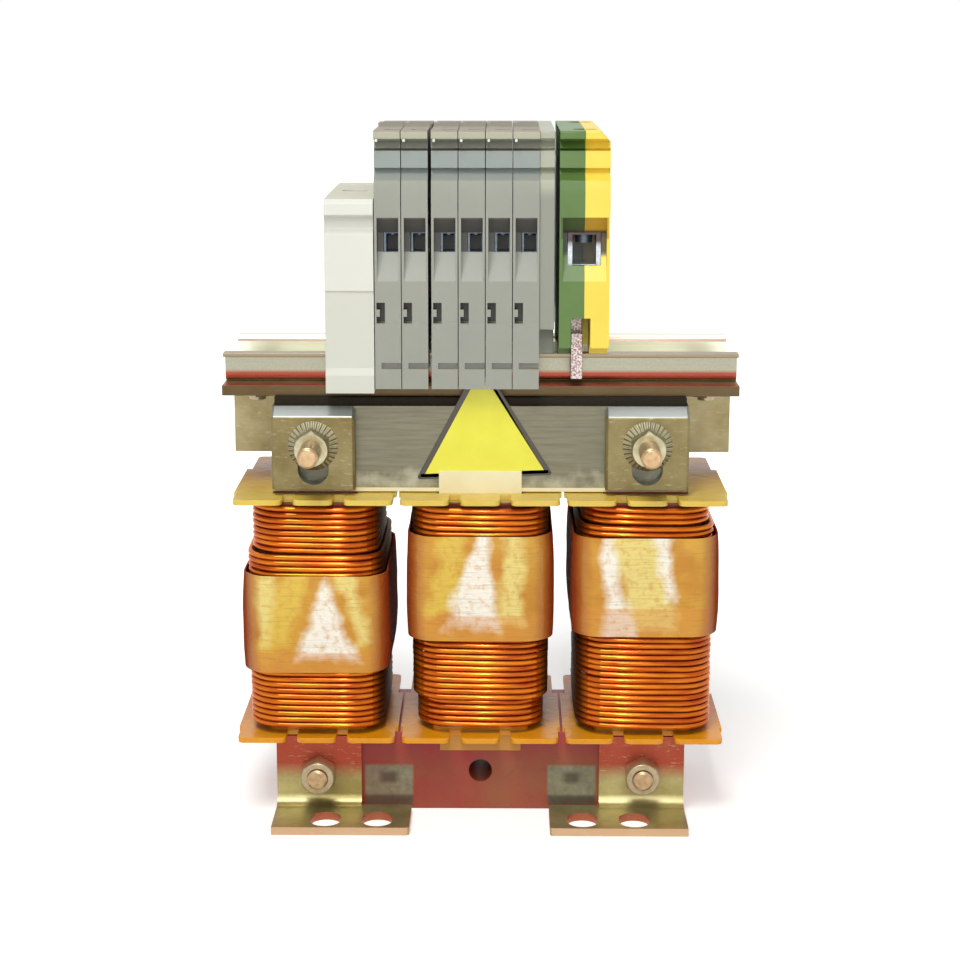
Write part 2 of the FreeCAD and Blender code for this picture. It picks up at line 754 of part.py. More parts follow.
def clamp_screw(x, y, seat, radius, head_radius, length):
    """Slotted clamping screw, head up."""
    shank = rod(radius, V(x, y, seat - length), V(x, y, seat))
    head = rod(head_radius, V(x, y, seat), V(x, y, seat + clamp_screw_head_h))
    slot = box((x - head_radius, y - clamp_screw_slot_w / 2, seat + clamp_screw_head_h * 0.45),
               (x + head_radius, y + clamp_screw_slot_w / 2, seat + clamp_screw_head_h + 1))
    return shank.fuse(head.cut(slot)).removeSplitter()


def terminal_screws():
    """Clamping screws of all the feed-through terminals."""
    pieces = []
    for left in terminal_lefts():
        near = clamp_screw(
            left + sleeve_side + sleeve_w / 2, block_front + pocket_depth + metal_clear + sleeve_depth / 2,
            rail_base + entry_high + sleeve_top_h, clamp_screw_r, clamp_screw_head_r, terminal_screw_l)
        pieces += [near, mirrored_y(near, rail_y)]
    return Part.makeCompound(pieces)


def terminal_lefts():
    """Left side of each terminal; the row has a loose gap after the second one."""
    lefts = []
    for index in range(6):
        loose = terminal_loose_gap if index >= 2 else 0.0
        lefts.append(terminal_start_x + index * (terminal_w + terminal_gap) + loose)
    return lefts


def end_plate():
    """Flat plate that closes the open side of the last terminal."""
    left = terminal_lefts()[-1] + terminal_w
    front = [(end_plate_inset, end_plate_low, 0)] + block_head(end_plate_inset)
    return prism_x(closed_outline(front, block_seat(end_plate_low)), left, left + end_plate_t)


def earth_left():
    """Left side of the earth terminal."""
    return terminal_lefts()[-1] + terminal_w + end_plate_t + earth_gap


def earth_cage_y():
    """Front, back and screw line of the front wire cage of the earth terminal."""
    near = block_front + pocket_depth + earth_room_clear
    far = near + earth_cage_depth
    return near, far, (near + far) / 2


def earth_side(left, right, notch_left, notch_right):
    """One moulded half of the earth terminal, with its share of the pocket and the window."""
    split = earth_left() + earth_half_w
    front = [(face_setback, earth_low, 0)] + block_head(face_setback)
    body = prism_x(closed_outline(front, block_seat(earth_low)), left, right)
    near, far, screw_y = earth_cage_y()
    lip_y = rail_y - rail_w / 2
    room_x = earth_window_w / 2 + earth_room_clear
    window_top = rail_base + earth_window_high
    slot_near = lip_y + earth_strap_reach - earth_post_t - earth_room_clear
    slot_far = lip_y + earth_strap_reach + earth_room_clear
    bar_x = earth_bar_w / 2 + earth_room_clear
    bar_top = window_top + earth_cage_top
    cuts = [
        prism_x(pocket_outline(0.0), split - earth_pocket_w / 2, split + earth_pocket_w / 2),
        box((split - earth_window_w / 2, block_front + 1, rail_base + earth_window_low),
            (split + earth_window_w / 2, near, window_top)),
        box((split - room_x, near - earth_room_clear, rail_base + earth_window_low - earth_cage_floor),
            (split + room_x, far + earth_room_clear, bar_top + earth_room_clear)),
        rod(earth_screw_bore_r, V(split, screw_y, window_top),
            V(split, screw_y, rail_base + terminal_h + 1)),
        box((split - notch_left, block_front - 1, lip_top - 1),
            (split + notch_right, lip_y + earth_strap_reach + 2, rail_base + earth_low + earth_notch_h)),
        box((split - notch_left, slot_near, rail_base + earth_low),
            (split + notch_right, slot_far, rail_base + earth_window_low)),
    ]
    for piece in cuts:
        body = body.cut(piece).cut(mirrored_y(piece, rail_y))
    return body.cut(box((split - bar_x, far, bar_top - earth_bar_t - earth_room_clear),
                        (split + bar_x, 2 * rail_y - far, bar_top + earth_room_clear)))


def earth_green():
    """Left half of the earth terminal."""
    left = earth_left()
    return earth_side(left, left + earth_half_w, earth_notch_left, 0.0)


def earth_yellow():
    """Right half of the earth terminal, chamfered along its upper edge."""
    left = earth_left() + earth_half_w
    right = left + earth_half_w
    body = earth_side(left, right, 0.0, earth_notch_right)
    top = rail_base + terminal_h
    wedge = prism_y([
        (right - earth_chamfer, top, 0), (right + 1, top + 1, 0),
        (right + 1, top - earth_chamfer - 1, 0)], block_front - 1, block_front + terminal_depth + 1)
    return body.cut(wedge)


def earth_clamp():
    """Two wire cages of the earth terminal, joined by a bar."""
    split = earth_left() + earth_half_w
    near, far, screw_y = earth_cage_y()
    half = earth_window_w / 2
    low = rail_base + earth_window_low - earth_cage_floor + earth_room_clear
    high = rail_base + earth_window_high + earth_cage_top
    inner_x = half - earth_cage_side
    cage = box((split - half, near, low), (split + half, far, high))
    cage = cage.cut(box((split - inner_x, near - 1, low + earth_cage_floor),
                        (split + inner_x, far + 1, rail_base + earth_window_high)))
    cage = cage.cut(rod(earth_screw_r, V(split, screw_y, high - earth_cage_top - 1),
                        V(split, screw_y, high + 1)))
    bar = box((split - earth_bar_w / 2, far, high - earth_bar_t),
              (split + earth_bar_w / 2, 2 * rail_y - far, high))
    return cage.fuse(mirrored_y(cage, rail_y)).fuse(bar).removeSplitter()


def earth_screws():
    """The two clamping screws of the earth terminal."""
    split = earth_left() + earth_half_w
    near, far, screw_y = earth_cage_y()
    screw = clamp_screw(split, screw_y, rail_base + earth_window_high + earth_cage_top,
                        earth_screw_r, earth_screw_head_r, earth_screw_l)
    return Part.makeCompound([screw, mirrored_y(screw, rail_y)])


def earth_strap():
    """Metal feet of the earth terminal: each grips a rail lip and rises to its wire cage."""
    split = earth_left() + earth_half_w
    left = split - earth_notch_left + earth_strap_clear
    lip_edge = (terminal_depth - rail_w) / 2
    inner = lip_edge - earth_lip_clear
    outer = inner - earth_strap_t
    reach = lip_edge + earth_strap_reach
    lip_under = rail_h - rail_t - metal_clear
    post = reach - earth_post_t
    post_top = earth_window_low - earth_cage_floor + earth_room_clear
    ledge_top = rail_h + earth_post_t
    points = [
        (outer, earth_strap_low, 0), (inner, earth_strap_low, 0), (reach, lip_under - earth_jaw_t, 0),
        (reach, lip_under, 0), (inner, lip_under, 0), (inner, rail_h, 0), (reach, rail_h, 0),
        (reach, post_top, 0), (post, post_top, 0), (post, ledge_top, 0), (inner, ledge_top, 0),
        (inner, earth_strap_high, 0), (outer, earth_strap_high, 0)]
    placed = [(block_front + depth, rail_base + height, radius) for depth, height, radius in points]
    near = prism_x(placed, left, split - earth_strap_clear)
    return Part.makeCompound([near, mirrored_y(near, rail_y)])


def end_block():
    """White end block that keeps the terminals from sliding along the rail."""
    right = terminal_start_x - terminal_gap
    left = right - end_block_w
    lip_edge = (terminal_depth - rail_w) / 2 - seat_clear
    hang = bracket_front_y - block_front - seat_clear
    hook_top = rail_h - rail_t - seat_clear
    top = end_block_h
    front = [(0.0, -end_block_hang, 0), (0.0, 3.5, 0), (0.6, 5.2, 0)]
    for groove in end_block_grooves:
        front += [(0.6, groove - 0.35, 0), (0.6 + end_block_groove, groove, 0), (0.6, groove + 0.35, 0)]
    front += [(0.6, top - 3.9, 0), (1.3, top - 1.5, 0), (2.4, top, 0),
              (6.0, top, 0), (6.5, top - end_block_groove, 0), (7.0, top, 0)]
    under = [
        (hang, -end_block_hang, 0), (hang, seat_clear, 0), (lip_edge, seat_clear, 0),
        (lip_edge + hook_reach, 2.7, 0), (lip_edge + hook_reach, hook_top, 0), (lip_edge, hook_top, 0),
        (lip_edge, rail_h, 0), (lip_edge + end_block_wall, rail_h, 0),
        (lip_edge + end_block_wall, end_block_floor, 0)]
    body = prism_x(closed_outline(front, under), left, right)
    middle = (left + right) / 2
    seat = V(middle, rail_y, rail_base + top - end_block_screw_deep)
    body = body.cut(rod(end_block_bore_r, seat, V(middle, rail_y, rail_base + top + 1)))
    return body.cut(rod(end_block_screw_r, V(middle, rail_y, rail_base + 1), seat + V(0, 0, 1)))


def end_block_screw():
    """Screw that presses the end block against the rail."""
    middle = terminal_start_x - terminal_gap - end_block_w / 2
    seat = rail_base + end_block_h - end_block_screw_deep
    return clamp_screw(middle, rail_y, seat, end_block_screw_r, end_block_screw_head_r,
                       end_block_h - end_block_screw_deep - rail_t)


def nodes():
    """Every piece by its node name."""
    lower_seat = front_face - foot_t
    upper_seat = front_face - clamp_t
    foot_head = rear_face + foot_t + washer_t
    yoke_head = rear_face + bracket_t + washer_t
    pieces = {
        "lower_core": lower_core(),
        "upper_yoke": upper_yoke(),
        "air_gap_sheet": air_gap_sheet(),
        "limb_strip": limb_strip(),
        "spacer_strip": spacer(),
        "rail_bracket": rail_bracket(),
        "din_rail": din_rail(),
        "rail_screws": rail_screws(),
        "rail_nuts": rail_nuts(),
        "terminal_screws": terminal_screws(),
        "terminal_end_plate": end_plate(),
        "earth_terminal_green": earth_green(),
        "earth_terminal_yellow": earth_yellow(),
        "earth_clamp": earth_clamp(),
        "earth_screws": earth_screws(),
        "earth_rail_strap": earth_strap(),
        "end_block": end_block(),
        "end_block_screw": end_block_screw(),
    }
    for name, x in (("left", -limb_pitch), ("centre", 0.0), ("right", limb_pitch)):
        pieces["bobbin_" + name] = bobbin(x)
        pieces["winding_" + name] = winding(x, coil_builds[name])
        pieces["tape_" + name] = tape(x, coil_builds[name])
    front_foot = foot()
    pad = clamp_pad()
    for name, side in (("left", -1), ("right", 1)):
        x = side * bolt_x
        placed = front_foot if side < 0 else mirrored_x(front_foot)
        pieces["foot_front_" + name] = placed
        pieces["foot_rear_" + name] = mirrored_y(placed)
        pieces["yoke_clamp_" + name] = pad if side < 0 else mirrored_x(pad)
        pieces["lower_bolt_" + name] = bolt(x, lower_bolt_z, lower_seat - nut_h - lower_bolt_out, foot_head)
        pieces["lower_nut_" + name] = nut(x, lower_bolt_z, lower_seat)
        pieces["lower_washer_" + name] = washer(x, lower_bolt_z, rear_face + foot_t)
        upper_tip = upper_seat - nut_flange_t - nut_h - upper_bolt_out
        pieces["upper_bolt_" + name] = bolt(x, upper_bolt_z, upper_tip, yoke_head)
        pieces["flange_nut_" + name] = nut(x, upper_bolt_z, upper_seat, nut_flange_t)
        pieces["upper_washer_" + name] = washer(x, upper_bolt_z, rear_face + bracket_t)
    for number, left in enumerate(terminal_lefts(), start=1):
        pieces["terminal_" + str(number)] = terminal(left)
        pieces["terminal_clamp_" + str(number)] = terminal_clamp(left)
    return pieces


os.makedirs("parts", exist_ok=True)
for node_name, shape in nodes().items():
    shape.exportStep("parts/" + node_name + ".step")
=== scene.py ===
import bpy
import math
import random
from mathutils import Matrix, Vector, noise
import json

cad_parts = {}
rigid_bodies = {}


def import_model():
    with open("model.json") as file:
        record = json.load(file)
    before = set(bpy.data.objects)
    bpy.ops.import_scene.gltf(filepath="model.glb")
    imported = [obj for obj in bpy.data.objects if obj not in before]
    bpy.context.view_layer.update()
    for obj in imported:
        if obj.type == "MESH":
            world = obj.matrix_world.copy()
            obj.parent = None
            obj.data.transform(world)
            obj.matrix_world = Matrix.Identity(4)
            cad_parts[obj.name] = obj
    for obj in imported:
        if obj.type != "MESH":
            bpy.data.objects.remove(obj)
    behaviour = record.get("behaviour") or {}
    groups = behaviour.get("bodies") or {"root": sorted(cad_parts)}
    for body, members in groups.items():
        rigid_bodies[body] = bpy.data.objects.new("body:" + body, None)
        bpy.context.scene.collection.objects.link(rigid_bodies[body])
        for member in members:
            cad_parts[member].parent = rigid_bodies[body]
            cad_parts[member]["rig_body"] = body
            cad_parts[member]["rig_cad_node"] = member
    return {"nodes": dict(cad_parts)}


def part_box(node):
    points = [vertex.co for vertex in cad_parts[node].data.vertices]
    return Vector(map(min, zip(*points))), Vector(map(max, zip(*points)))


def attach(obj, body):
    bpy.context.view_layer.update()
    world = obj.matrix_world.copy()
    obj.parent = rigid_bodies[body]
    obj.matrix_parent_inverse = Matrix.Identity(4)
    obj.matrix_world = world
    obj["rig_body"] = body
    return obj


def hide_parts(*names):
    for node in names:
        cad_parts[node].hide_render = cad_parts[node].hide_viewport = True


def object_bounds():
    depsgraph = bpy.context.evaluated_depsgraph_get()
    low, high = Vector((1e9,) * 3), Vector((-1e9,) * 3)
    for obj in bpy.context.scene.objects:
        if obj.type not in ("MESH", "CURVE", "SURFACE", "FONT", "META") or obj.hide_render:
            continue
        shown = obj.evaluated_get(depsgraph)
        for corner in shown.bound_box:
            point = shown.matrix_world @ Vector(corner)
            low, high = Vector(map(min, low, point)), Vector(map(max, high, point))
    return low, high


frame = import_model()
cad_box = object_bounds()

# Lower core.
# An E-shaped stack of silicon-steel laminations, dipped in red insulating varnish and baked.
# The front lamination is smooth, with a painted grey reflection of each foot's plate beside the feet;
# elsewhere the cut edges show.

MM = 0.001
LAMINATION = 0.5 * MM
PATCH_X = 22.7
PATCH_Z = 6.2

# At scale 1 a wave repeats every 0.3142 m. The edges of laminations and the threads of bolts are too fine to
# show in the render, so both are drawn twice as coarse as they are.
COARSE_WAVE = 0.3142 / 2
EDGE_BANDS = {"bands_direction": "Y", "Scale": COARSE_WAVE / LAMINATION, "Distortion": 0.15}


def linear(code):
    """sRGB hex colour as a linear RGBA value."""
    channels = [int(code[i:i + 2], 16) / 255 for i in (1, 3, 5)]
    return [c / 12.92 if c <= 0.04045 else ((c + 0.055) / 1.055) ** 2.4 for c in channels] + [1.0]


def outlet(source):
    """The output that links take from a node here; a socket that is given stays as it is."""
    if isinstance(source, bpy.types.NodeSocket):
        return source
    usual = {"TexCoord": "Object", "TexWave": "Fac", "NewGeometry": "Normal", "Mix": 2, "VectorMath": "Value"}
    return source.outputs[usual.get(source.bl_idname[10:], 0)]


def add(tree, kind, settings=None, links=None):
    """Adds a node, with its operation written behind its kind, sets it and links its inputs.

    A mix is a mix of colours, and a colour code becomes a linear colour."""
    kind, _, operation = kind.partition(" ")
    made = tree.nodes.new("ShaderNode" + kind)
    if operation:
        made.operation = operation
    if kind == "Mix":
        made.data_type = "RGBA"
    for name, value in (settings or {}).items():
        if isinstance(name, int) or name in made.inputs:
            made.inputs[name].default_value = linear(value) if isinstance(value, str) else value
        else:
            setattr(made, name, value)
    for name, source in (links or {}).items():
        tree.links.new(outlet(source), made.inputs[name])
    return made


def feed(shader, **sources):
    """Links nodes to a shader's sockets."""
    for socket, source in sources.items():
        shader.id_data.links.new(outlet(source), shader.inputs[socket.replace("_", " ")])


def start_material(name, **sockets):
    """A new material with its shader's sockets set; returns it, its tree, its shader and its coordinates."""
    material = bpy.data.materials.new(name)
    material.use_nodes = True
    shader = material.node_tree.nodes["Principled BSDF"]
    for socket, value in sockets.items():
        shader.inputs[socket.replace("_", " ")].default_value = value
    return material, material.node_tree, shader, add(material.node_tree, "TexCoord")


def zone(tree, value, middle, outer, inner, strength=1.0):
    """A mask that is full up to `inner` from a middle and gone past `outer`, all in millimetres."""
    off = add(tree, "Math SUBTRACT", {1: middle * MM}, {0: value})
    off = add(tree, "Math ABSOLUTE", links={0: off})
    settings = {"From Min": outer * MM, "From Max": inner * MM, "To Max": strength}
    return add(tree, "MapRange", settings, {"Value": off})


def rounded(piece, bevel):
    """Rounds a piece's edges and evens out its shading, so that its flat faces stay flat."""
    bpy.context.view_layer.objects.active = piece
    if bevel > 0:
        rounding = piece.modifiers.new("rounding", "BEVEL")
        rounding.width = bevel
        rounding.segments = 2
        rounding.limit_method = "ANGLE"
        rounding.angle_limit = math.radians(14)
        bpy.ops.object.modifier_apply(modifier="rounding")
    bpy.ops.object.shade_smooth_by_angle(angle=math.radians(40))
    even = piece.modifiers.new("even", "WEIGHTED_NORMAL")
    even.keep_sharp = True
    bpy.ops.object.modifier_apply(modifier="even")


def dressed(node, material, bevel, cut_up=False):
    """A copy of a CAD piece with its edges rounded and its finish on, in place of the CAD piece."""
    bpy.ops.object.select_all(action="DESELECT")
    source = frame["nodes"][node]
    source.select_set(True)
    bpy.context.view_layer.objects.active = source
    bpy.ops.object.duplicate()
    piece = bpy.context.object
    piece.name = node + "_finished"
    piece.parent = None
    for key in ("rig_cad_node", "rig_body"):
        if key in piece:
            del piece[key]
    bpy.ops.object.mode_set(mode="EDIT")
    bpy.ops.mesh.select_all(action="SELECT")
    bpy.ops.mesh.remove_doubles(threshold=2e-6)
    bpy.ops.mesh.dissolve_limited(angle_limit=math.radians(0.8))
    if cut_up:
        bpy.ops.mesh.select_all(action="SELECT")
        bpy.ops.mesh.quads_convert_to_tris(quad_method="BEAUTY", ngon_method="BEAUTY")
    bpy.ops.object.mode_set(mode="OBJECT")
    rounded(piece, bevel)
    piece.data.materials.clear()
    piece.data.materials.append(material)
    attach(piece, "root")
    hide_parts(node)
    return piece


# Baked insulating varnish over steel: deep red-brown, glossy, thin and browner where it ran off; painted
# crimson shade and reflection under the flanges, and painted reflections of the feet beside them.
core_varnish, tree, shader, place = start_material(
    "baked_red_varnish_steel", Roughness=0.45, IOR=1.45, Coat_Weight=0.12, Coat_Roughness=0.06)
cloud = add(tree, "TexNoise", {"Scale": 1 / (26 * MM), "Detail": 4.0, "Roughness": 0.55}, {"Vector": place})
thin = add(tree, "MapRange", {"From Min": 0.40, "From Max": 0.66}, {"Value": cloud})
colour = add(tree, "Mix", {6: "#9C2F24", 7: "#985432"}, {0: thin})
fleck = add(tree, "TexNoise", {"Scale": 1 / (1.3 * MM), "Detail": 3.0}, {"Vector": place})
spots = add(tree, "MapRange", {"From Min": 0.60, "From Max": 0.74, "To Max": 0.35}, {"Value": fleck})
flecked = add(tree, "Mix", {7: "#6E2F31"}, {0: spots, 6: colour})
x, y, z = add(tree, "SeparateXYZ", links={"Vector": place}).outputs
# Painted shade and red reflection under the flanges: the varnish turns crimson towards its top.
high = add(tree, "MapRange", {"From Min": 12 * MM, "From Max": 18 * MM, "To Max": 0.65}, {"Value": z})
flange_shade_reflection = add(tree, "Mix", {7: "#A02434"}, {0: high, 6: flecked})
# Painted reflection beside each foot: its plate mirrored in grey, its slot as a dark spot, and a painted
# shadow of the gap along the bottom.
from_middle = add(tree, "Math ABSOLUTE", links={0: x})
across = zone(tree, from_middle, PATCH_X, 6.3, 5.6)
upright = zone(tree, z, PATCH_Z, 5.6, 4.7)
painted_foot_reflection = add(tree, "Math MULTIPLY", links={0: across, 1: upright})
blot = add(tree, "MapRange", {"From Min": 0.38, "From Max": 0.6, "To Min": 0.75, "To Max": 0.92},
           {"Value": cloud})
painted_foot_reflection = add(tree, "Math MULTIPLY", links={0: painted_foot_reflection, 1: blot})
grey = add(tree, "Mix", {6: "#5E5F4A", 7: "#A2A88C"}, {0: fleck})
spot_x = zone(tree, from_middle, PATCH_X, 3.0, 1.2)
spot_z = zone(tree, z, 8.2, 2.0, 0.8)
spot = add(tree, "Math MULTIPLY", links={0: spot_x, 1: spot_z})
below = add(tree, "MapRange", {"From Min": 4.0 * MM, "From Max": 3.2 * MM}, {"Value": z})
darker = add(tree, "Math MAXIMUM", links={0: spot, 1: below})
darker = add(tree, "Math MULTIPLY", {1: 0.8}, {0: darker})
grey = add(tree, "Mix", {7: "#333B30"}, {0: darker, 6: grey})
feed(shader, Base_Color=add(tree, "Mix", links={0: painted_foot_reflection, 6: flange_shade_reflection, 7: grey}))
edges = add(tree, "TexWave", EDGE_BANDS, {"Vector": place})
ripple = add(tree, "Math MULTIPLY_ADD", {1: 0.25}, {0: cloud, 2: edges})
feed(shader, Normal=add(tree, "Bump", {"Strength": 0.25, "Distance": 0.12 * MM}, {"Height": ripple}))

dressed("lower_core", core_varnish, 0.2 * MM)


# Upper yoke.
# A straight stack of the same laminations that closes the core above the air gap.
# It is bare grey steel under a thin clear varnish, with draw marks along it and pale runs low down.

# Rolled steel under clear varnish: grey draw marks along it, milky runs low down.
yoke_steel, tree, shader, place = start_material(
    "clear_varnished_lamination_steel", Metallic=0.35, Roughness=0.38, Coat_Weight=0.25, Coat_Roughness=0.2)
along = add(tree, "Mapping", {"Scale": (0.06, 1.0, 1.0)}, {"Vector": place})
draw = add(tree, "TexNoise", {"Scale": 1 / (0.7 * MM), "Detail": 4.0, "Roughness": 0.65}, {"Vector": along})
drawn = add(tree, "MapRange", {"From Min": 0.3, "From Max": 0.7}, {"Value": draw})
colour = add(tree, "Mix", {6: "#646049", 7: "#7C7861"}, {0: drawn})
cloud = add(tree, "TexNoise", {"Scale": 1 / (9 * MM), "Detail": 5.0, "Roughness": 0.6}, {"Vector": place})
x, y, z = add(tree, "SeparateXYZ", links={"Vector": place}).outputs
low = add(tree, "MapRange", {"From Min": 96 * MM, "From Max": 83 * MM}, {"Value": z})
runs = add(tree, "Math MULTIPLY", links={0: cloud, 1: low})
pale = add(tree, "MapRange", {"From Min": 0.36, "From Max": 0.56, "To Max": 0.55}, {"Value": runs})
feed(shader, Base_Color=add(tree, "Mix", {7: "#C9C6AC"}, {0: pale, 6: colour}))
edges = add(tree, "TexWave", EDGE_BANDS, {"Vector": place})
grain = add(tree, "Math ADD", links={0: draw, 1: edges})
feed(shader, Normal=add(tree, "Bump", {"Strength": 0.3, "Distance": 0.08 * MM}, {"Height": grain}))

dressed("upper_yoke", yoke_steel, 0.25 * MM)


# Insulating paper.
# A sheet lies in the air gap, and a strip is wedged between the middle limb and its bobbin.
# Both are cut from cream pressed paper, fibrous and matte, slightly soaked with varnish.

# Pressed paper: cream, matte and fibrous, amber at its foot where varnish soaked in.
paper, tree, shader, place = start_material("pressed_insulating_paper", Roughness=0.72, IOR=1.45)
fibre = add(tree, "TexNoise", {"Scale": 1 / (0.8 * MM), "Detail": 5.0, "Roughness": 0.7}, {"Vector": place})
soak = add(tree, "TexNoise", {"Scale": 1 / (7 * MM), "Detail": 2.0}, {"Vector": place})
soaked = add(tree, "MapRange", {"From Min": 0.42, "From Max": 0.7, "To Max": 0.6}, {"Value": soak})
colour = add(tree, "Mix", {6: "#F4EEC8", 7: "#EEE2B0"}, {0: soaked})
x, y, z = add(tree, "SeparateXYZ", links={"Vector": place}).outputs
dipped = add(tree, "MapRange", {"From Min": 20.6 * MM, "From Max": 19.8 * MM, "To Max": 0.9}, {"Value": z})
feed(shader, Base_Color=add(tree, "Mix", {7: "#C98A22"}, {0: dipped, 6: colour}))
feed(shader, Normal=add(tree, "Bump", {"Strength": 0.35, "Distance": 0.05 * MM}, {"Height": fibre}))

for node in ("air_gap_sheet", "limb_strip"):
    dressed(node, paper, 0.08 * MM)


# Bobbins.
# Each limb carries a moulded bobbin, a tube with a toothed flange at both ends.
# It is amber thermoplastic, glossy and a little translucent, with varnish pooled on the flanges.

# Amber plastic: it glows a little from inside, and pooled varnish ripples its shine; a painted red reflection
# lies towards the rear.
amber, tree, shader, place = start_material(
    "moulded_amber_thermoplastic", Roughness=0.3, IOR=1.53, Subsurface_Weight=0.25, Subsurface_Scale=0.002,
    Subsurface_Radius=(1.0, 0.45, 0.1), Specular_IOR_Level=0.3, Coat_Weight=0.1, Coat_Roughness=0.08)
cloud = add(tree, "TexNoise", {"Scale": 1 / (8 * MM), "Detail": 4.0, "Roughness": 0.6}, {"Vector": place})
x, y, z = add(tree, "SeparateXYZ", links={"Vector": place}).outputs
upper = add(tree, "MapRange", {"From Min": 40 * MM, "From Max": 78 * MM}, {"Value": z})
low_flange = add(tree, "Mix", {6: "#D98806", 7: "#F2AC18"}, {0: cloud})
top_flange = add(tree, "Mix", {6: "#D6AC34", 7: "#EED668"}, {0: cloud})
colour = add(tree, "Mix", links={0: upper, 6: low_flange, 7: top_flange})
# Painted reflection: the amber turns red-brown towards the rear.
rear = add(tree, "MapRange", {"From Min": -20 * MM, "From Max": 6 * MM, "To Max": 0.7}, {"Value": y})
feed(shader, Base_Color=add(tree, "Mix", {7: "#B4561A"}, {0: rear, 6: colour}))
pool = add(tree, "TexNoise", {"Scale": 1 / (3.2 * MM), "Detail": 2.0, "Distortion": 0.6}, {"Vector": place})
feed(shader, Normal=add(tree, "Bump", {"Strength": 0.5, "Distance": 0.5 * MM}, {"Height": pool}))

for side in ("left", "centre", "right"):
    dressed("bobbin_" + side, amber, 0.3 * MM, cut_up=True)


# Windings.
# Enamelled copper wire is wound in layers on each bobbin, turn against turn, and bulges between the corners.
# The outer layer stops short of one end, so a few turns there lie one layer deeper.

WIRE = 1.36 * MM
PITCH = 1.42 * MM
CORNER = 6.6 * MM
BULGE_X = 0.36 * MM
BULGE_Y = 0.95 * MM
LAYER = 1.15 * MM

# Enamelled copper: orange turns with a sharp shine, with painted shade where two coils face each other.
copper, tree, shader, place = start_material(
    "enamelled_copper_wire", Metallic=0.5, Roughness=0.15, IOR=1.9, Specular_Tint=linear("#FFC060"),
    Coat_Weight=0.08, Coat_Roughness=0.12)
flat = add(tree, "Mapping", {"Scale": (0.12, 0.12, 1.0)}, {"Vector": place})
shade = add(tree, "TexNoise", {"Scale": 1 / (1.1 * MM), "Detail": 3.0, "Roughness": 0.5}, {"Vector": flat})
tone = add(tree, "MapRange", {"From Min": 0.32, "From Max": 0.68}, {"Value": shade})
colour = add(tree, "Mix", {6: "#AA3A0A", 7: "#DA7A1A"}, {0: tone})
x, y, z = add(tree, "SeparateXYZ", links={"Vector": place}).outputs
from_middle = add(tree, "Math ABSOLUTE", links={0: x})
# Painted shade: the sides where two coils face each other are dark brown, dull and barely shiny.
past_side = add(tree, "MapRange", {"From Min": 14.0 * MM, "From Max": 16.0 * MM}, {"Value": from_middle})
past_next = add(tree, "MapRange", {"From Min": 26.5 * MM, "From Max": 24.5 * MM}, {"Value": from_middle})
between = add(tree, "Math MULTIPLY", links={0: past_side, 1: past_next})
feed(shader, Base_Color=add(tree, "Mix", {7: "#3A1006"}, {0: between, 6: colour}))
for socket, seen, hidden in (("Roughness", 0.15, 0.6), ("Coat_Weight", 0.08, 0.0), ("Metallic", 0.5, 0.1)):
    feed(shader, **{socket: add(tree, "MapRange", {"To Min": seen, "To Max": hidden}, {"Value": between})})
feed(shader, Normal=add(tree, "Bump", {"Strength": 0.15, "Distance": 0.1 * MM}, {"Height": shade}))


def clouded(name, size, detail, dark, light, **sockets):
    """A new material, clouded between two tints in patches of a size in millimetres."""
    material, tree, shader, place = start_material(name, **sockets)
    cloud = add(tree, "TexNoise", {"Scale": 1 / (size * MM), "Detail": detail}, {"Vector": place})
    colour = add(tree, "Mix", {6: dark, 7: light}, {0: cloud})
    feed(shader, Base_Color=colour)
    return material, tree, shader, place, cloud, colour


# Inner turns soaked in varnish: dark red-brown, with painted shade that makes them almost black, as they lie
# deep.
inner_copper = clouded(
    "varnished_shaded_inner_turns", 1.4, 2.0, "#4A1606", "#7A2C0C", Metallic=0.4, Roughness=0.45, Coat_Weight=0.3)[0]


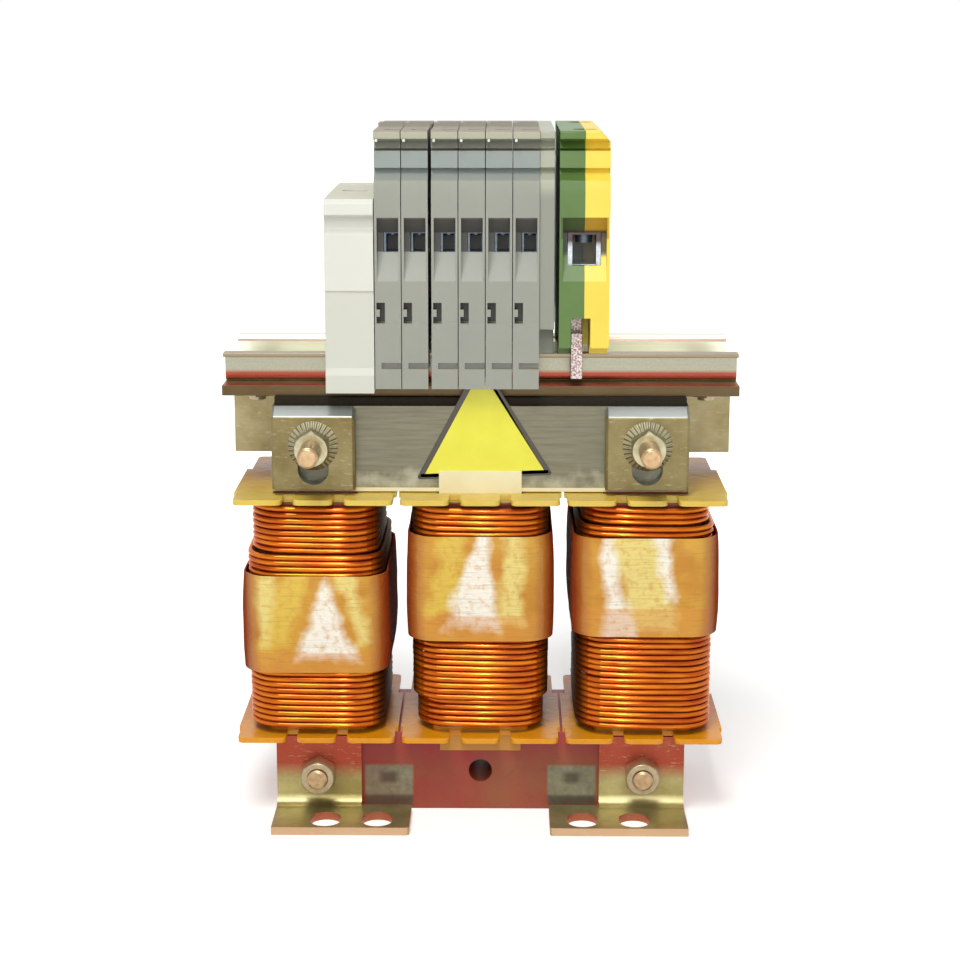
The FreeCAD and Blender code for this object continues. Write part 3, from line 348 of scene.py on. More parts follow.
def wire_coil(side, low_turns, top_turns, seed):
    """One winding: a path for one turn, repeated up the bobbin, loosened and given its thickness.

    The given numbers of turns at its low end and at its top lie one layer deeper."""
    low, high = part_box("winding_" + side)
    middle = (low + high) / 2
    half_x = (high.x - low.x) / 2 - WIRE / 2 - BULGE_X
    half_y = (high.y - low.y) / 2 - WIRE / 2 - BULGE_Y
    turns = int((high.z - low.z - WIRE) / PITCH)
    pitch = (high.z - low.z - WIRE) / turns
    bpy.ops.mesh.primitive_plane_add(size=2, location=(0, 0, 0))
    coil = bpy.context.object
    coil.name = "winding_%s_wire" % side
    bpy.ops.object.mode_set(mode="EDIT")
    bpy.ops.mesh.select_mode(type="VERT")
    bpy.ops.mesh.select_all(action="SELECT")
    bpy.ops.mesh.merge(type="CENTER")
    bpy.ops.transform.translate(value=(0, half_y, 0))
    steps = ((half_x, 0), (0, -2 * half_y), (-2 * half_x, 0), (0, 2 * half_y), (half_x, 0))
    length = 4 * (half_x + half_y)
    for dx, dy in steps:
        rise = pitch * (abs(dx) + abs(dy)) / length
        bpy.ops.mesh.extrude_region_move(TRANSFORM_OT_translate={"value": (dx, dy, rise)})
    bpy.ops.object.mode_set(mode="OBJECT")
    for vertex in coil.data.vertices:
        vertex.select = abs(vertex.co.x) > half_x * 0.9
    for edge in coil.data.edges:
        edge.select = False
    bpy.ops.object.mode_set(mode="EDIT")
    bpy.ops.mesh.select_mode(type="VERT")
    bpy.ops.mesh.bevel(affect="VERTICES", offset=CORNER, offset_type="OFFSET", segments=7, profile=0.5)
    bpy.ops.mesh.select_all(action="SELECT")
    bpy.ops.object.mode_set(mode="OBJECT")
    for edge in coil.data.edges:
        ends = [coil.data.vertices[i].co for i in edge.vertices]
        edge.select = (ends[0] - ends[1]).length > 6 * MM
    bpy.ops.object.mode_set(mode="EDIT")
    bpy.ops.mesh.select_mode(type="EDGE")
    bpy.ops.mesh.subdivide(number_cuts=5)
    bpy.ops.object.mode_set(mode="OBJECT")
    stack = coil.modifiers.new("turns", "ARRAY")
    stack.count = turns
    stack.use_relative_offset = False
    stack.use_constant_offset = True
    stack.constant_offset_displace = (0, 0, pitch)
    stack.use_merge_vertices = True
    stack.merge_threshold = 0.02 * MM
    bpy.ops.object.modifier_apply(modifier="turns")
    rows = random.Random(seed)
    slack = [rows.uniform(-1, 1) for _ in range(turns + 2)]
    tilt = [rows.uniform(-1, 1) for _ in range(turns + 2)]
    for vertex in coil.data.vertices:
        x, y, z = vertex.co
        turn = min(int(z / pitch), turns - 1)
        share = z / pitch - turn
        deep = LAYER if turn < low_turns or turn >= turns - top_turns else 0.0
        out_x = BULGE_X * max(0.0, 1 - (y / half_y) ** 2)
        out_y = BULGE_Y * max(0.0, 1 - (x / half_x) ** 2)
        loose = 0.10 * MM * (slack[turn] * (1 - share) + slack[turn + 1] * share)
        right = math.copysign(1, x)
        rear = math.copysign(1, y)
        near_side = abs(x) / (half_x * 0.7)
        near_end = abs(y) / (half_y * 0.7)
        x += right * (min(1, near_side) * (loose - deep) + (out_x if near_side > 1 else 0))
        y += rear * (min(1, near_end) * (loose - deep) + (out_y if near_end > 1 else 0))
        z += 0.16 * MM * (tilt[turn] * (1 - share) + tilt[turn + 1] * share) * x / half_x
        vertex.co = (x + middle.x, y + middle.y, z + low.z + WIRE / 2)
    bpy.ops.object.convert(target="CURVE")
    coil.data.bevel_depth = WIRE / 2
    coil.data.bevel_resolution = 2
    coil.data.use_fill_caps = True
    bpy.ops.object.convert(target="MESH")
    bpy.ops.object.shade_smooth()
    coil.data.materials.append(copper)
    bpy.ops.mesh.primitive_cube_add(size=2, location=(0, 0, 0))
    inner = bpy.context.object
    reach = WIRE / 2 + 0.25 * MM
    inset = reach + LAYER * 0.9
    inner.scale = (half_x - inset, half_y - inset, (high.z - low.z) / 2 - 0.2 * MM)
    inner.location = middle
    bpy.ops.object.transform_apply(location=True, rotation=False, scale=True)
    bpy.ops.object.mode_set(mode="EDIT")
    bpy.ops.mesh.select_mode(type="EDGE")
    bpy.ops.mesh.select_all(action="DESELECT")
    bpy.ops.object.mode_set(mode="OBJECT")
    for edge in inner.data.edges:
        ends = [inner.data.vertices[i].co for i in edge.vertices]
        edge.select = abs(ends[0].z - ends[1].z) > 10 * MM
    bpy.ops.object.mode_set(mode="EDIT")
    bpy.ops.mesh.bevel(offset=CORNER - 1 * MM, offset_type="OFFSET", segments=6, profile=0.5, affect="EDGES")
    bpy.ops.object.mode_set(mode="OBJECT")
    inner.data.materials.append(inner_copper)
    coil.select_set(True)
    bpy.context.view_layer.objects.active = coil
    bpy.ops.object.join()
    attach(coil, "root")
    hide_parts("winding_" + side)


wire_coil("left", low_turns=0, top_turns=8, seed=3)
wire_coil("centre", low_turns=5, top_turns=0, seed=7)
wire_coil("right", low_turns=0, top_turns=3, seed=11)


# Tape bands.
# Filament tape is wrapped tightly round the middle of each coil, over the last turns.
# Its clear backing and pale threads let the copper show through as amber, and it creases where it overlaps.


def tape_film(side, patches, lap):
    """Tape over copper: amber with threads along it, with golder and paler patches and painted highlights,
    doubled low down.

    A patch is its tint, then its heights, the places of its middle and its half widths at top and bottom.
    The threads are drawn 0.4 mm thick, coarser than they are, so that they show."""
    low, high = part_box("tape_" + side)
    film, tree, shader, place = start_material(
        "filament_tape_%s_coil" % side, Roughness=0.3, IOR=1.5, Coat_Weight=0.4, Coat_Roughness=0.1,
        Specular_Tint=linear("#FFCE70"))
    x, y, z = add(tree, "SeparateXYZ", links={"Vector": place}).outputs
    flat = add(tree, "Mapping", {"Scale": (0.05, 0.05, 1.0)}, {"Vector": place})
    threads = add(tree, "TexNoise", {"Scale": 1 / (0.4 * MM), "Detail": 4.0, "Roughness": 0.6},
                  {"Vector": flat})
    cloud = add(tree, "TexNoise", {"Scale": 1 / (7 * MM), "Detail": 3.0, "Roughness": 0.5}, {"Vector": place})
    crumple = add(tree, "TexNoise", {"Scale": 1 / (1.5 * MM), "Detail": 4.0, "Roughness": 0.6},
                  {"Vector": place})
    stuck = add(tree, "MapRange", {"From Min": 0.34, "From Max": 0.66}, {"Value": cloud})
    colour = add(tree, "Mix", {6: "#C58426", 7: "#D8A23A"}, {0: stuck})
    ragged = add(tree, "Math MULTIPLY_ADD", {1: 7.0 * MM, 2: -3.5 * MM}, {0: cloud})
    for tint, top_z, low_z, top_x, low_x, top_half, low_half in patches:
        down = add(tree, "MapRange", {"clamp": False, "From Min": top_z * MM, "From Max": low_z * MM},
                   {"Value": z})
        centre = add(tree, "Math MULTIPLY_ADD", {1: (low_x - top_x) * MM, 2: top_x * MM}, {0: down})
        half = add(tree, "Math MULTIPLY_ADD", {1: (low_half - top_half) * MM, 2: top_half * MM}, {0: down})
        off = add(tree, "Math SUBTRACT", links={0: x, 1: centre})
        off = add(tree, "Math ABSOLUTE", links={0: off})
        in_x = add(tree, "Math SUBTRACT", links={0: half, 1: off})
        above = add(tree, "Math SUBTRACT", {1: low_z * MM}, {0: z})
        in_both = add(tree, "Math MINIMUM", links={0: in_x, 1: above})
        patch_edge = add(tree, "Math ADD", links={0: in_both, 1: ragged})
        pale = add(tree, "MapRange", {"From Min": -1.1 * MM, "From Max": 1.3 * MM, "To Max": 0.95},
                   {"Value": patch_edge})
        patchy = add(tree, "MapRange", {"From Min": 0.3, "From Max": 0.5, "To Min": 0.45}, {"Value": crumple})
        pale = add(tree, "Math MULTIPLY", links={0: pale, 1: patchy})
        colour = add(tree, "Mix", {7: tint}, {0: pale, 6: colour})
    lap_z = low.z + lap * MM
    settings = {"From Min": lap_z, "From Max": lap_z - 0.3 * MM, "To Max": 0.45}
    second = add(tree, "MapRange", settings, {"Value": z})
    colour = add(tree, "Mix", {7: "#D98A3A"}, {0: second, 6: colour})
    line = add(tree, "MapRange", {"From Min": 0.52, "From Max": 0.74, "To Max": 0.45}, {"Value": threads})
    colour = add(tree, "Mix", {7: "#A27A34"}, {0: line, 6: colour})
    from_middle = add(tree, "Math SUBTRACT", {1: (low.x + high.x) / 2}, {0: x})
    from_middle = add(tree, "Math ABSOLUTE", links={0: from_middle})
    edge = add(tree, "MapRange", {"From Min": 13 * MM, "From Max": 17.0 * MM, "To Max": 0.9},
               {"Value": from_middle})
    for socket, middle, rim in (
            ("Coat_Weight", 0.4, 0.0), ("Specular_IOR_Level", 0.5, 0.05), ("IOR", 1.5, 1.01)):
        settings = {"From Min": 15 * MM, "From Max": 17 * MM, "To Min": middle, "To Max": rim}
        feed(shader, **{socket: add(tree, "MapRange", settings, {"Value": from_middle})})
    feed(shader, Base_Color=add(tree, "Mix", {7: "#9A3A22"}, {0: edge, 6: colour}))
    crease = add(tree, "Math MULTIPLY_ADD", {1: 0.5}, {0: threads, 2: crumple})
    feed(shader, Normal=add(tree, "Bump", {"Strength": 0.6, "Distance": 0.45 * MM}, {"Height": crease}))
    return film


def tape_band(side, shape, seed, film):
    """One band: the outline of the coil raised in rings, each drawn in by what its shape lacks to 1."""
    low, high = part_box("tape_" + side)
    middle = (low + high) / 2
    bpy.ops.mesh.primitive_plane_add(size=2, location=(0, 0, 0))
    band = bpy.context.object
    band.name = "tape_%s_band" % side
    full_x = (high.x - low.x) / 2
    full_y = (high.y - low.y) / 2
    band.scale = (full_x, full_y, 1)
    band.location = (middle.x, middle.y, low.z)
    bpy.ops.object.transform_apply(location=True, rotation=False, scale=True)
    bpy.ops.object.mode_set(mode="EDIT")
    bpy.ops.mesh.select_mode(type="VERT")
    bpy.ops.mesh.select_all(action="SELECT")
    bpy.ops.mesh.bevel(affect="VERTICES", offset=CORNER + 0.8 * MM, segments=8, profile=0.5)
    bpy.ops.mesh.select_all(action="SELECT")
    bpy.ops.mesh.delete(type="ONLY_FACE")
    bpy.ops.object.mode_set(mode="OBJECT")
    for edge in band.data.edges:
        ends = [band.data.vertices[i].co for i in edge.vertices]
        edge.select = (ends[0] - ends[1]).length > 6 * MM
    bpy.ops.object.mode_set(mode="EDIT")
    bpy.ops.mesh.select_mode(type="EDGE")
    bpy.ops.mesh.subdivide(number_cuts=9)
    bpy.ops.mesh.select_all(action="SELECT")
    rise = (high.z - low.z) / (len(shape) - 1)
    for _ in shape[1:]:
        bpy.ops.mesh.extrude_region_move(TRANSFORM_OT_translate={"value": (0, 0, rise)})
    bpy.ops.mesh.select_all(action="SELECT")
    bpy.ops.mesh.normals_make_consistent(inside=False)
    bpy.ops.object.mode_set(mode="OBJECT")
    for vertex in band.data.vertices:
        level = (vertex.co.z - low.z) / rise
        row = min(int(level + 0.01), len(shape) - 2)
        share = level - row
        inset = (1 - (shape[row] * (1 - share) + shape[row + 1] * share)) * 1.1 * MM
        away = Vector((vertex.co.x - middle.x, vertex.co.y - middle.y, 0))
        crinkle = noise.noise(vertex.co * 160 + Vector((seed, 0, 0))) * 0.16 * MM
        shift = inset - crinkle
        if abs(away.x) > full_x * 0.75:
            vertex.co.x -= math.copysign(1, away.x) * shift
        if abs(away.y) > full_y * 0.75:
            vertex.co.y -= math.copysign(1, away.y) * shift
    wall = band.modifiers.new("wall", "SOLIDIFY")
    wall.thickness = 0.4 * MM
    wall.offset = -1
    bpy.ops.object.modifier_apply(modifier="wall")
    bpy.ops.object.shade_smooth_by_angle(angle=math.radians(50))
    band.data.materials.append(film)
    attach(band, "root")
    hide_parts("tape_" + side)


# Gold and straw are golder and paler tints of the tape; the near-white patches are painted highlights where
# light catches its creases.
GOLD, STRAW, PAINTED_HIGHLIGHT = "#E0BE4C", "#EAD884", "#FBF8EC"
tape_band("left", (0.8, 0.9, 1.0, 1.0, 1.0, 1.0, 1.0, 0.95, 0.9, 0.8, 0.6), seed=1.0, film=tape_film(
    "left", lap=5.2, patches=(
        (GOLD, 62.5, 45.0, -44.0, -50.0, 3.0, 3.0), (STRAW, 63.0, 45.5, -32.5, -28.0, 2.0, 1.2),
        (STRAW, 63.0, 46.0, -51.0, -52.5, 1.4, 1.0), (PAINTED_HIGHLIGHT, 60.5, 41.0, -37.4, -37.0, 0.2, 7.2))))
tape_band("centre", (0.7, 0.85, 0.95, 1.0, 1.0, 1.0, 0.95, 0.9, 0.8, 0.7, 0.55), seed=5.0, film=tape_film(
    "centre", lap=6.5, patches=(
        (STRAW, 72.0, 50.0, 8.0, 7.5, 2.0, 3.4), (GOLD, 72.5, 52.0, -6.0, -9.0, 3.0, 3.5),
        (PAINTED_HIGHLIGHT, 71.0, 49.0, 0.5, -2.6, 1.2, 6.6))))
tape_band("right", (0.75, 0.9, 1.0, 1.0, 1.0, 1.0, 1.0, 0.95, 0.9, 0.85, 0.7), seed=9.0, film=tape_film(
    "right", lap=7.3, patches=(
        (STRAW, 72.0, 49.0, 37.5, 41.5, 6.0, 5.5), (PAINTED_HIGHLIGHT, 72.0, 47.0, 29.8, 34.2, 0.9, 3.4),
        (PAINTED_HIGHLIGHT, 72.0, 56.0, 43.6, 46.0, 1.9, 1.3))))


# Feet and clamp pads.
# Four angles of pressed steel sheet are bolted to the lower yoke; two slotted pads clamp the upper yoke.
# They are zinc plated with a yellowish passivation, dull and finely scratched.


def zinc_coat(name, dark, light, red_reflected=False):
    """Passivated zinc: clouded, finely scratched; feet also carry a painted red reflection high up and in the
    walls of their slots.
    """
    zinc, tree, shader, place = start_material(name, Metallic=0.8, Roughness=0.36)
    x, y, z = add(tree, "SeparateXYZ", links={"Vector": place}).outputs
    cloud = add(tree, "TexNoise", {"Scale": 1 / (12 * MM), "Detail": 5.0, "Roughness": 0.6},
                {"Vector": place})
    tint = add(tree, "MapRange", {"From Min": 0.35, "From Max": 0.65}, {"Value": cloud})
    colour = add(tree, "Mix", {6: dark, 7: light}, {0: tint})
    if red_reflected:
        # Painted red reflection of the varnished core and flanges, high up on the feet and low in the walls
        # of their slots.
        edge = add(tree, "MapRange", {"From Min": 8.4 * MM, "From Max": 12.5 * MM, "To Max": 0.9},
                   {"Value": z})
        colour = add(tree, "Mix", {7: "#A03628"}, {0: edge, 6: colour})
        turned = add(tree, "SeparateXYZ", links={"Vector": add(tree, "NewGeometry")})
        level = add(tree, "Math ABSOLUTE", links={0: turned.outputs["Z"]})
        wall = add(tree, "Math LESS_THAN", {1: 0.4}, {0: level})
        low = add(tree, "MapRange", {"From Min": 3.2 * MM, "From Max": 2.6 * MM, "To Max": 0.7}, {"Value": z})
        cut = add(tree, "Math MULTIPLY", links={0: wall, 1: low})
        deep = add(tree, "MapRange", {"From Min": -35.6 * MM, "From Max": -34.8 * MM, "To Min": 0.1},
                   {"Value": y})
        cut = add(tree, "Math MULTIPLY", links={0: cut, 1: deep})
        colour = add(tree, "Mix", {7: "#A8382A"}, {0: cut, 6: colour})
        toe = add(tree, "Math LESS_THAN", {1: -35.8 * MM}, {0: y})
        toe = add(tree, "Math MULTIPLY", {1: 0.8}, {0: toe})
        colour = add(tree, "Mix", {7: "#D2AC8A"}, {0: toe, 6: colour})
    scratch_map = add(tree, "Mapping", {"Scale": (0.2, 1.0, 1.0), "Rotation": (0.0, 0.0, 0.4)},
                      {"Vector": place})
    scratch = add(tree, "TexNoise", {"Scale": 1 / (0.5 * MM), "Detail": 5.0, "Roughness": 0.7},
                  {"Vector": scratch_map})
    marks = add(tree, "MapRange", {"From Min": 0.58, "From Max": 0.75, "To Max": 0.35}, {"Value": scratch})
    feed(shader, Base_Color=add(tree, "Mix", {7: "#E2DCBE"}, {0: marks, 6: colour}))
    dull = add(tree, "MapRange", {"To Min": 0.28, "To Max": 0.48}, {"Value": cloud})
    feed(shader, Roughness=dull)
    feed(shader, Normal=add(tree, "Bump", {"Strength": 0.25, "Distance": 0.06 * MM}, {"Height": scratch}))
    return zinc


def painted_reflection_on_top(coat, tint, strength):
    """Mixes another tint into the coat where the surface faces up, as a painted reflection."""
    tree = coat.node_tree
    shader = tree.nodes["Principled BSDF"]
    source = shader.inputs["Base Color"].links[0].from_socket
    turned = add(tree, "SeparateXYZ", links={"Vector": add(tree, "NewGeometry")})
    up = add(tree, "MapRange", {"From Min": 0.3, "From Max": 0.8, "To Max": strength},
             {"Value": turned.outputs["Z"]})
    feed(shader, Base_Color=add(tree, "Mix", {7: tint}, {0: up, 6: source}))


# Olive zinc for the feet; browner zinc for the clamp pads, with a painted reflection of the cool room on top.
foot_zinc = zinc_coat("olive_passivated_zinc", "#918554", "#B6AD7E", red_reflected=True)
pad_zinc = zinc_coat("yellow_passivated_zinc", "#6C5D38", "#857953")
painted_reflection_on_top(pad_zinc, "#B9C2C2", strength=0.85)
for side in ("left", "right"):
    dressed("foot_front_" + side, foot_zinc, 0.35 * MM)
    dressed("foot_rear_" + side, foot_zinc, 0.35 * MM)
    dressed("yoke_clamp_" + side, pad_zinc, 0.3 * MM)

# The rail's bracket: the same zinc, with a painted brown shadow at its front, a painted red reflection along
# its shelf's edge and painted shade on its leg under the shelf.
bracket_zinc = zinc_coat("brown_edged_zinc", "#8A7C56", "#A89E7A")
tree = bracket_zinc.node_tree
shader = tree.nodes["Principled BSDF"]
source = shader.inputs["Base Color"].links[0].from_socket
place = add(tree, "TexCoord")
x, y, z = add(tree, "SeparateXYZ", links={"Vector": place}).outputs
# Painted shadow of the terminals at the front, painted red reflection along the shelf's edge, and painted
# shade on the leg under the shelf.
front = add(tree, "MapRange", {"From Min": -12.0 * MM, "From Max": -12.4 * MM, "To Max": 0.85}, {"Value": y})
painted_front_shadow = add(tree, "Mix", {7: "#48321A"}, {0: front, 6: source})
turned = add(tree, "SeparateXYZ", links={"Vector": add(tree, "NewGeometry")})
up = add(tree, "MapRange", {"From Min": 0.5, "From Max": 0.9, "To Max": 0.8}, {"Value": turned.outputs["Z"]})
strip = add(tree, "Math MULTIPLY", links={0: up, 1: front})
red_reflected = add(tree, "Mix", {7: "#B24A34"}, {0: strip, 6: painted_front_shadow})
forward = add(tree, "Math LESS_THAN", {1: -0.6}, {0: turned.outputs["Y"]})
under = add(tree, "MapRange", {"From Min": 101.6 * MM, "From Max": 102.6 * MM, "To Max": 0.75}, {"Value": z})
under = add(tree, "Math MULTIPLY", links={0: under, 1: forward})
behind = add(tree, "Math GREATER_THAN", {1: 0.0}, {0: y})
under = add(tree, "Math MULTIPLY", links={0: under, 1: behind})
feed(shader, Base_Color=add(tree, "Mix", {7: "#8E4A12"}, {0: under, 6: red_reflected}))
dressed("rail_bracket", bracket_zinc, 0.35 * MM)


# Fasteners.
# M5 hexagon bolts run through both yokes, with plain nuts below and serrated flange nuts above.
# They are bright zinc plated steel with rolled threads.

THREAD = 0.8 * MM
FLANGE_TEETH = 30.0

# Bright zinc: warm grey, faintly clouded, softly mirroring.
bright_zinc, tree, shader, _, cloud, _ = clouded(
    "bright_zinc_plated_steel", 1.5, 4.0, "#94805C", "#CBBE9E", Metallic=0.55, Roughness=0.28)
feed(shader, Normal=add(tree, "Bump", {"Strength": 0.2, "Distance": 0.08 * MM}, {"Height": cloud}))

# Rolled thread: rings of light and shade across the shank.
threaded_zinc, tree, shader, place, _, _ = clouded(
    "rolled_thread_zinc_steel", 1.1, 4.0, "#8E6A46", "#D2B890", Metallic=0.85, Roughness=0.32)
thread = add(tree, "TexWave", {"bands_direction": "Y", "Scale": COARSE_WAVE / THREAD}, {"Vector": place})
feed(shader, Normal=add(tree, "Bump", {"Strength": 0.8, "Distance": 0.3 * MM}, {"Height": thread}))

# Serrated flange: fine teeth that sparkle round its rim.
toothed_zinc, tree, shader, place, _, _ = clouded(
    "serrated_flange_zinc_steel", 1.5, 4.0, "#8C8464", "#C6C0A0", Metallic=0.85, Roughness=0.32)
x, y, z = add(tree, "SeparateXYZ", links={"Vector": place}).outputs
nut_low, nut_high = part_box("flange_nut_right")
nut_middle = (nut_low + nut_high) / 2
from_side = add(tree, "Math ABSOLUTE", links={0: x})
across = add(tree, "Math SUBTRACT", {1: nut_middle.x}, {0: from_side})
up = add(tree, "Math SUBTRACT", {1: nut_middle.z}, {0: z})
turn = add(tree, "Math ARCTAN2", links={0: up, 1: across})
turn = add(tree, "Math MULTIPLY", {1: FLANGE_TEETH}, {0: turn})
teeth = add(tree, "Math SINE", links={0: turn})
flange = add(tree, "MapRange", {"From Min": nut_low.y + 3.4 * MM, "From Max": nut_low.y + 3.8 * MM},
             {"Value": y})
teeth = add(tree, "Math MULTIPLY", links={0: teeth, 1: flange})
feed(shader, Normal=add(tree, "Bump", {"Strength": 0.8, "Distance": 0.25 * MM}, {"Height": teeth}))

for side in ("left", "right"):
    for node in ("lower_washer_", "upper_washer_", "lower_nut_"):
        dressed(node + side, bright_zinc, 0.15 * MM)
    for node in ("lower_bolt_", "upper_bolt_"):
        dressed(node + side, threaded_zinc, 0.15 * MM)
    dressed("flange_nut_" + side, toothed_zinc, 0.15 * MM)
for node in ("rail_screws", "rail_nuts", "end_block_screw"):
    dressed(node, bright_zinc, 0.1 * MM)


# Spacer strip.
# A dark strip of laminated insulating board lies between the upper yoke and the rail bracket.
# It is black, matte and slightly rough at its sawn edges.

# Insulating board: brown-black and dull, with a fine grain.
board, tree, shader, _, grain, _ = clouded(
    "black_insulating_board", 0.6, 4.0, "#15120D", "#2E2718", Roughness=0.8, IOR=1.3)
feed(shader, Normal=add(tree, "Bump", {"Strength": 0.4, "Distance": 0.06 * MM}, {"Height": grain}))

dressed("spacer_strip", board, 0.1 * MM)


# Rail.
# A top-hat rail of rolled steel strip, screwed to the bracket at its ends.
# It is bright zinc plated, with faint lines along it from the rolling.

# Rolled zinc: bright with streaks along it, speckled grey with painted shade on its front wall, a painted
# dark-red shadow under the lip and a painted red reflection low down.
# The rolling lines are drawn 0.6 mm wide, coarser than they are, so that they show.
rail_zinc, tree, shader, place = start_material("rolled_bright_zinc_rail", Metallic=0.85, Roughness=0.3)
along = add(tree, "Mapping", {"Scale": (0.03, 1.0, 1.0)}, {"Vector": place})
rolled = add(tree, "TexNoise", {"Scale": 1 / (0.6 * MM), "Detail": 4.0, "Roughness": 0.6}, {"Vector": along})
colour = add(tree, "Mix", {6: "#DADAC4", 7: "#F2F3E4"}, {0: rolled})
x, y, z = add(tree, "SeparateXYZ", links={"Vector": place}).outputs
speck = add(tree, "TexNoise", {"Scale": 1 / (0.5 * MM), "Detail": 3.0}, {"Vector": place})
# Painted shade: the front wall under the lip is a darker speckled grey.
painted_wall_shade = add(tree, "MapRange", {"From Min": 113.0 * MM, "From Max": 112.6 * MM, "To Max": 0.8}, {"Value": z})
outer = add(tree, "Math LESS_THAN", {1: -8.0 * MM}, {0: y})
painted_wall_shade = add(tree, "Math MULTIPLY", links={0: painted_wall_shade, 1: outer})
wall = add(tree, "Mix", {6: "#62614C", 7: "#918D76"}, {0: speck})
colour = add(tree, "Mix", links={0: painted_wall_shade, 6: colour, 7: wall})
# Painted dark-red shadow under the lip, then a painted red reflection low on the front wall.
under_lip = zone(tree, z, 112.9, 0.55, 0.25, 0.75)
colour = add(tree, "Mix", {7: "#6E2418"}, {0: under_lip, 6: colour})
painted_low_reflection = add(tree, "MapRange", {"From Min": 109.4 * MM, "From Max": 108.6 * MM, "To Max": 0.85}, {"Value": z})
painted_low_reflection = add(tree, "Math MULTIPLY", links={0: painted_low_reflection, 1: outer})
colour = add(tree, "Mix", {7: "#9A2E20"}, {0: painted_low_reflection, 6: colour})
lip = add(tree, "MapRange", {"From Min": 112.8 * MM, "From Max": 113.2 * MM, "To Max": 0.9}, {"Value": z})
lip = add(tree, "Math MULTIPLY", links={0: lip, 1: outer})
feed(shader, Base_Color=add(tree, "Mix", {7: "#7C6A50"}, {0: lip, 6: colour}))
feed(shader, Normal=add(tree, "Bump", {"Strength": 0.2, "Distance": 0.05 * MM}, {"Height": rolled}))

dressed("din_rail", rail_zinc, 0.15 * MM)


# Feed-through terminals.
# Six moulded housings are clipped side by side on the rail, each open on its right where its metal goes in.
# They are grey polyamide, satin, with the fine texture of the mould.

RAIL_MIDDLE = (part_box("din_rail")[0].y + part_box("din_rail")[1].y) / 2
WIRE_POCKETS = (139.0, 147.4, 0.85)
TEST_POCKETS = (122.5, 127.2, 0.9)


def between_heights(tree, z, low_z, high_z):
    """A mask that is full between two heights in millimetres."""
    above = add(tree, "Math GREATER_THAN", {1: low_z * MM}, {0: z})
    under = add(tree, "Math LESS_THAN", {1: high_z * MM}, {0: z})
    return add(tree, "Math MULTIPLY", links={0: above, 1: under})


# Grey polyamide: satin, with painted brown shade and reflection on top, a painted highlight along the ledge
# at its head, a painted cool reflection below that and painted shade in its pockets.
polyamide_grey, tree, shader, place, _, colour = clouded(
    "moulded_grey_polyamide", 14, 3.0, "#92948A", "#9FA194", Roughness=0.5, IOR=1.53)
x, y, z = add(tree, "SeparateXYZ", links={"Vector": place}).outputs
turned = add(tree, "SeparateXYZ", links={"Vector": add(tree, "NewGeometry")})
# Painted brown shade and reflection on the tops.
up = add(tree, "MapRange", {"From Min": 0.8, "From Max": 0.97, "To Max": 0.7}, {"Value": turned.outputs["Z"]})
colour = add(tree, "Mix", {7: "#7E6642"}, {0: up, 6: colour})
forward = add(tree, "Math ABSOLUTE", links={0: turned.outputs["Z"]})
forward = add(tree, "MapRange", {"From Min": 0.5, "From Max": 0.3}, {"Value": forward})
# Painted highlight along the ledge at the head, lit from above.
painted_ledge_highlight = zone(tree, z, 166.4, 1.2, 0.9, 0.7)
painted_ledge_highlight = add(tree, "Math MULTIPLY", links={0: painted_ledge_highlight, 1: forward})
colour = add(tree, "Mix", {7: "#BDB89E"}, {0: painted_ledge_highlight, 6: colour})
# Painted cool reflection on the face below the ledge.
cool = zone(tree, z, 159.5, 3.6, 2.4, 0.6)
colour = add(tree, "Mix", {7: "#8C999A"}, {0: cool, 6: colour})
# Painted shade in the wire and test pockets.
inside = zone(tree, y, RAIL_MIDDLE / MM, 25.2, 24.4)
for low_z, high_z, strength in (WIRE_POCKETS, TEST_POCKETS):
    level = between_heights(tree, z, low_z, high_z)
    level = add(tree, "Math MULTIPLY", links={0: level, 1: inside})
    level = add(tree, "Math MULTIPLY", {1: strength}, {0: level})
    colour = add(tree, "Mix", {7: "#2E2B29"}, {0: level, 6: colour})
feed(shader, Base_Color=colour)
# The mould's texture is drawn 0.35 mm wide, coarser than it is, so that it shows.
skin = add(tree, "TexNoise", {"Scale": 1 / (0.35 * MM), "Detail": 2.0}, {"Vector": place})
feed(shader, Normal=add(tree, "Bump", {"Strength": 0.12, "Distance": 0.04 * MM}, {"Height": skin}))

# Clamp steel: blue-grey and dim, as it lies in the shade of its housing.
shadowed_steel = clouded(
    "shadowed_clamp_steel", 1.0, 3.0, "#37424C", "#77828C", Metallic=0.7, Roughness=0.4)[0]

# White nylon: each pin is a small bright dot.
pin_white = clouded(
    "pressed_white_pin_nylon", 0.4, 2.0, "#D8D8CC", "#F0F0E8", Roughness=0.45, IOR=1.53)[0]

for number in range(1, 7):
    node = "terminal_%d" % number
    dressed(node, polyamide_grey, 0.12 * MM)
    dressed("terminal_clamp_%d" % number, shadowed_steel, 0.08 * MM)
    low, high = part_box(node)
    bpy.ops.mesh.primitive_cylinder_add(
        vertices=24, radius=0.35 * MM, depth=4.4 * MM, rotation=(math.pi / 2, 0, 0),
        location=(low.x + 0.7 * MM, low.y + 2.6 * MM, high.z - 3.0 * MM))
    pin = bpy.context.object
    pin.name = node + "_pin"
    bpy.ops.object.transform_apply(location=True, rotation=True, scale=True)
    rounded(pin, 0.06 * MM)
    pin.data.materials.append(pin_white)
    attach(pin, "root")
for node in ("terminal_screws", "earth_screws"):
    dressed(node, shadowed_steel, 0.1 * MM)


# End plate.
# A flat moulded plate closes the open side of the last feed-through terminal.
# It is a paler beige-grey plastic than the housings, smooth and satin.

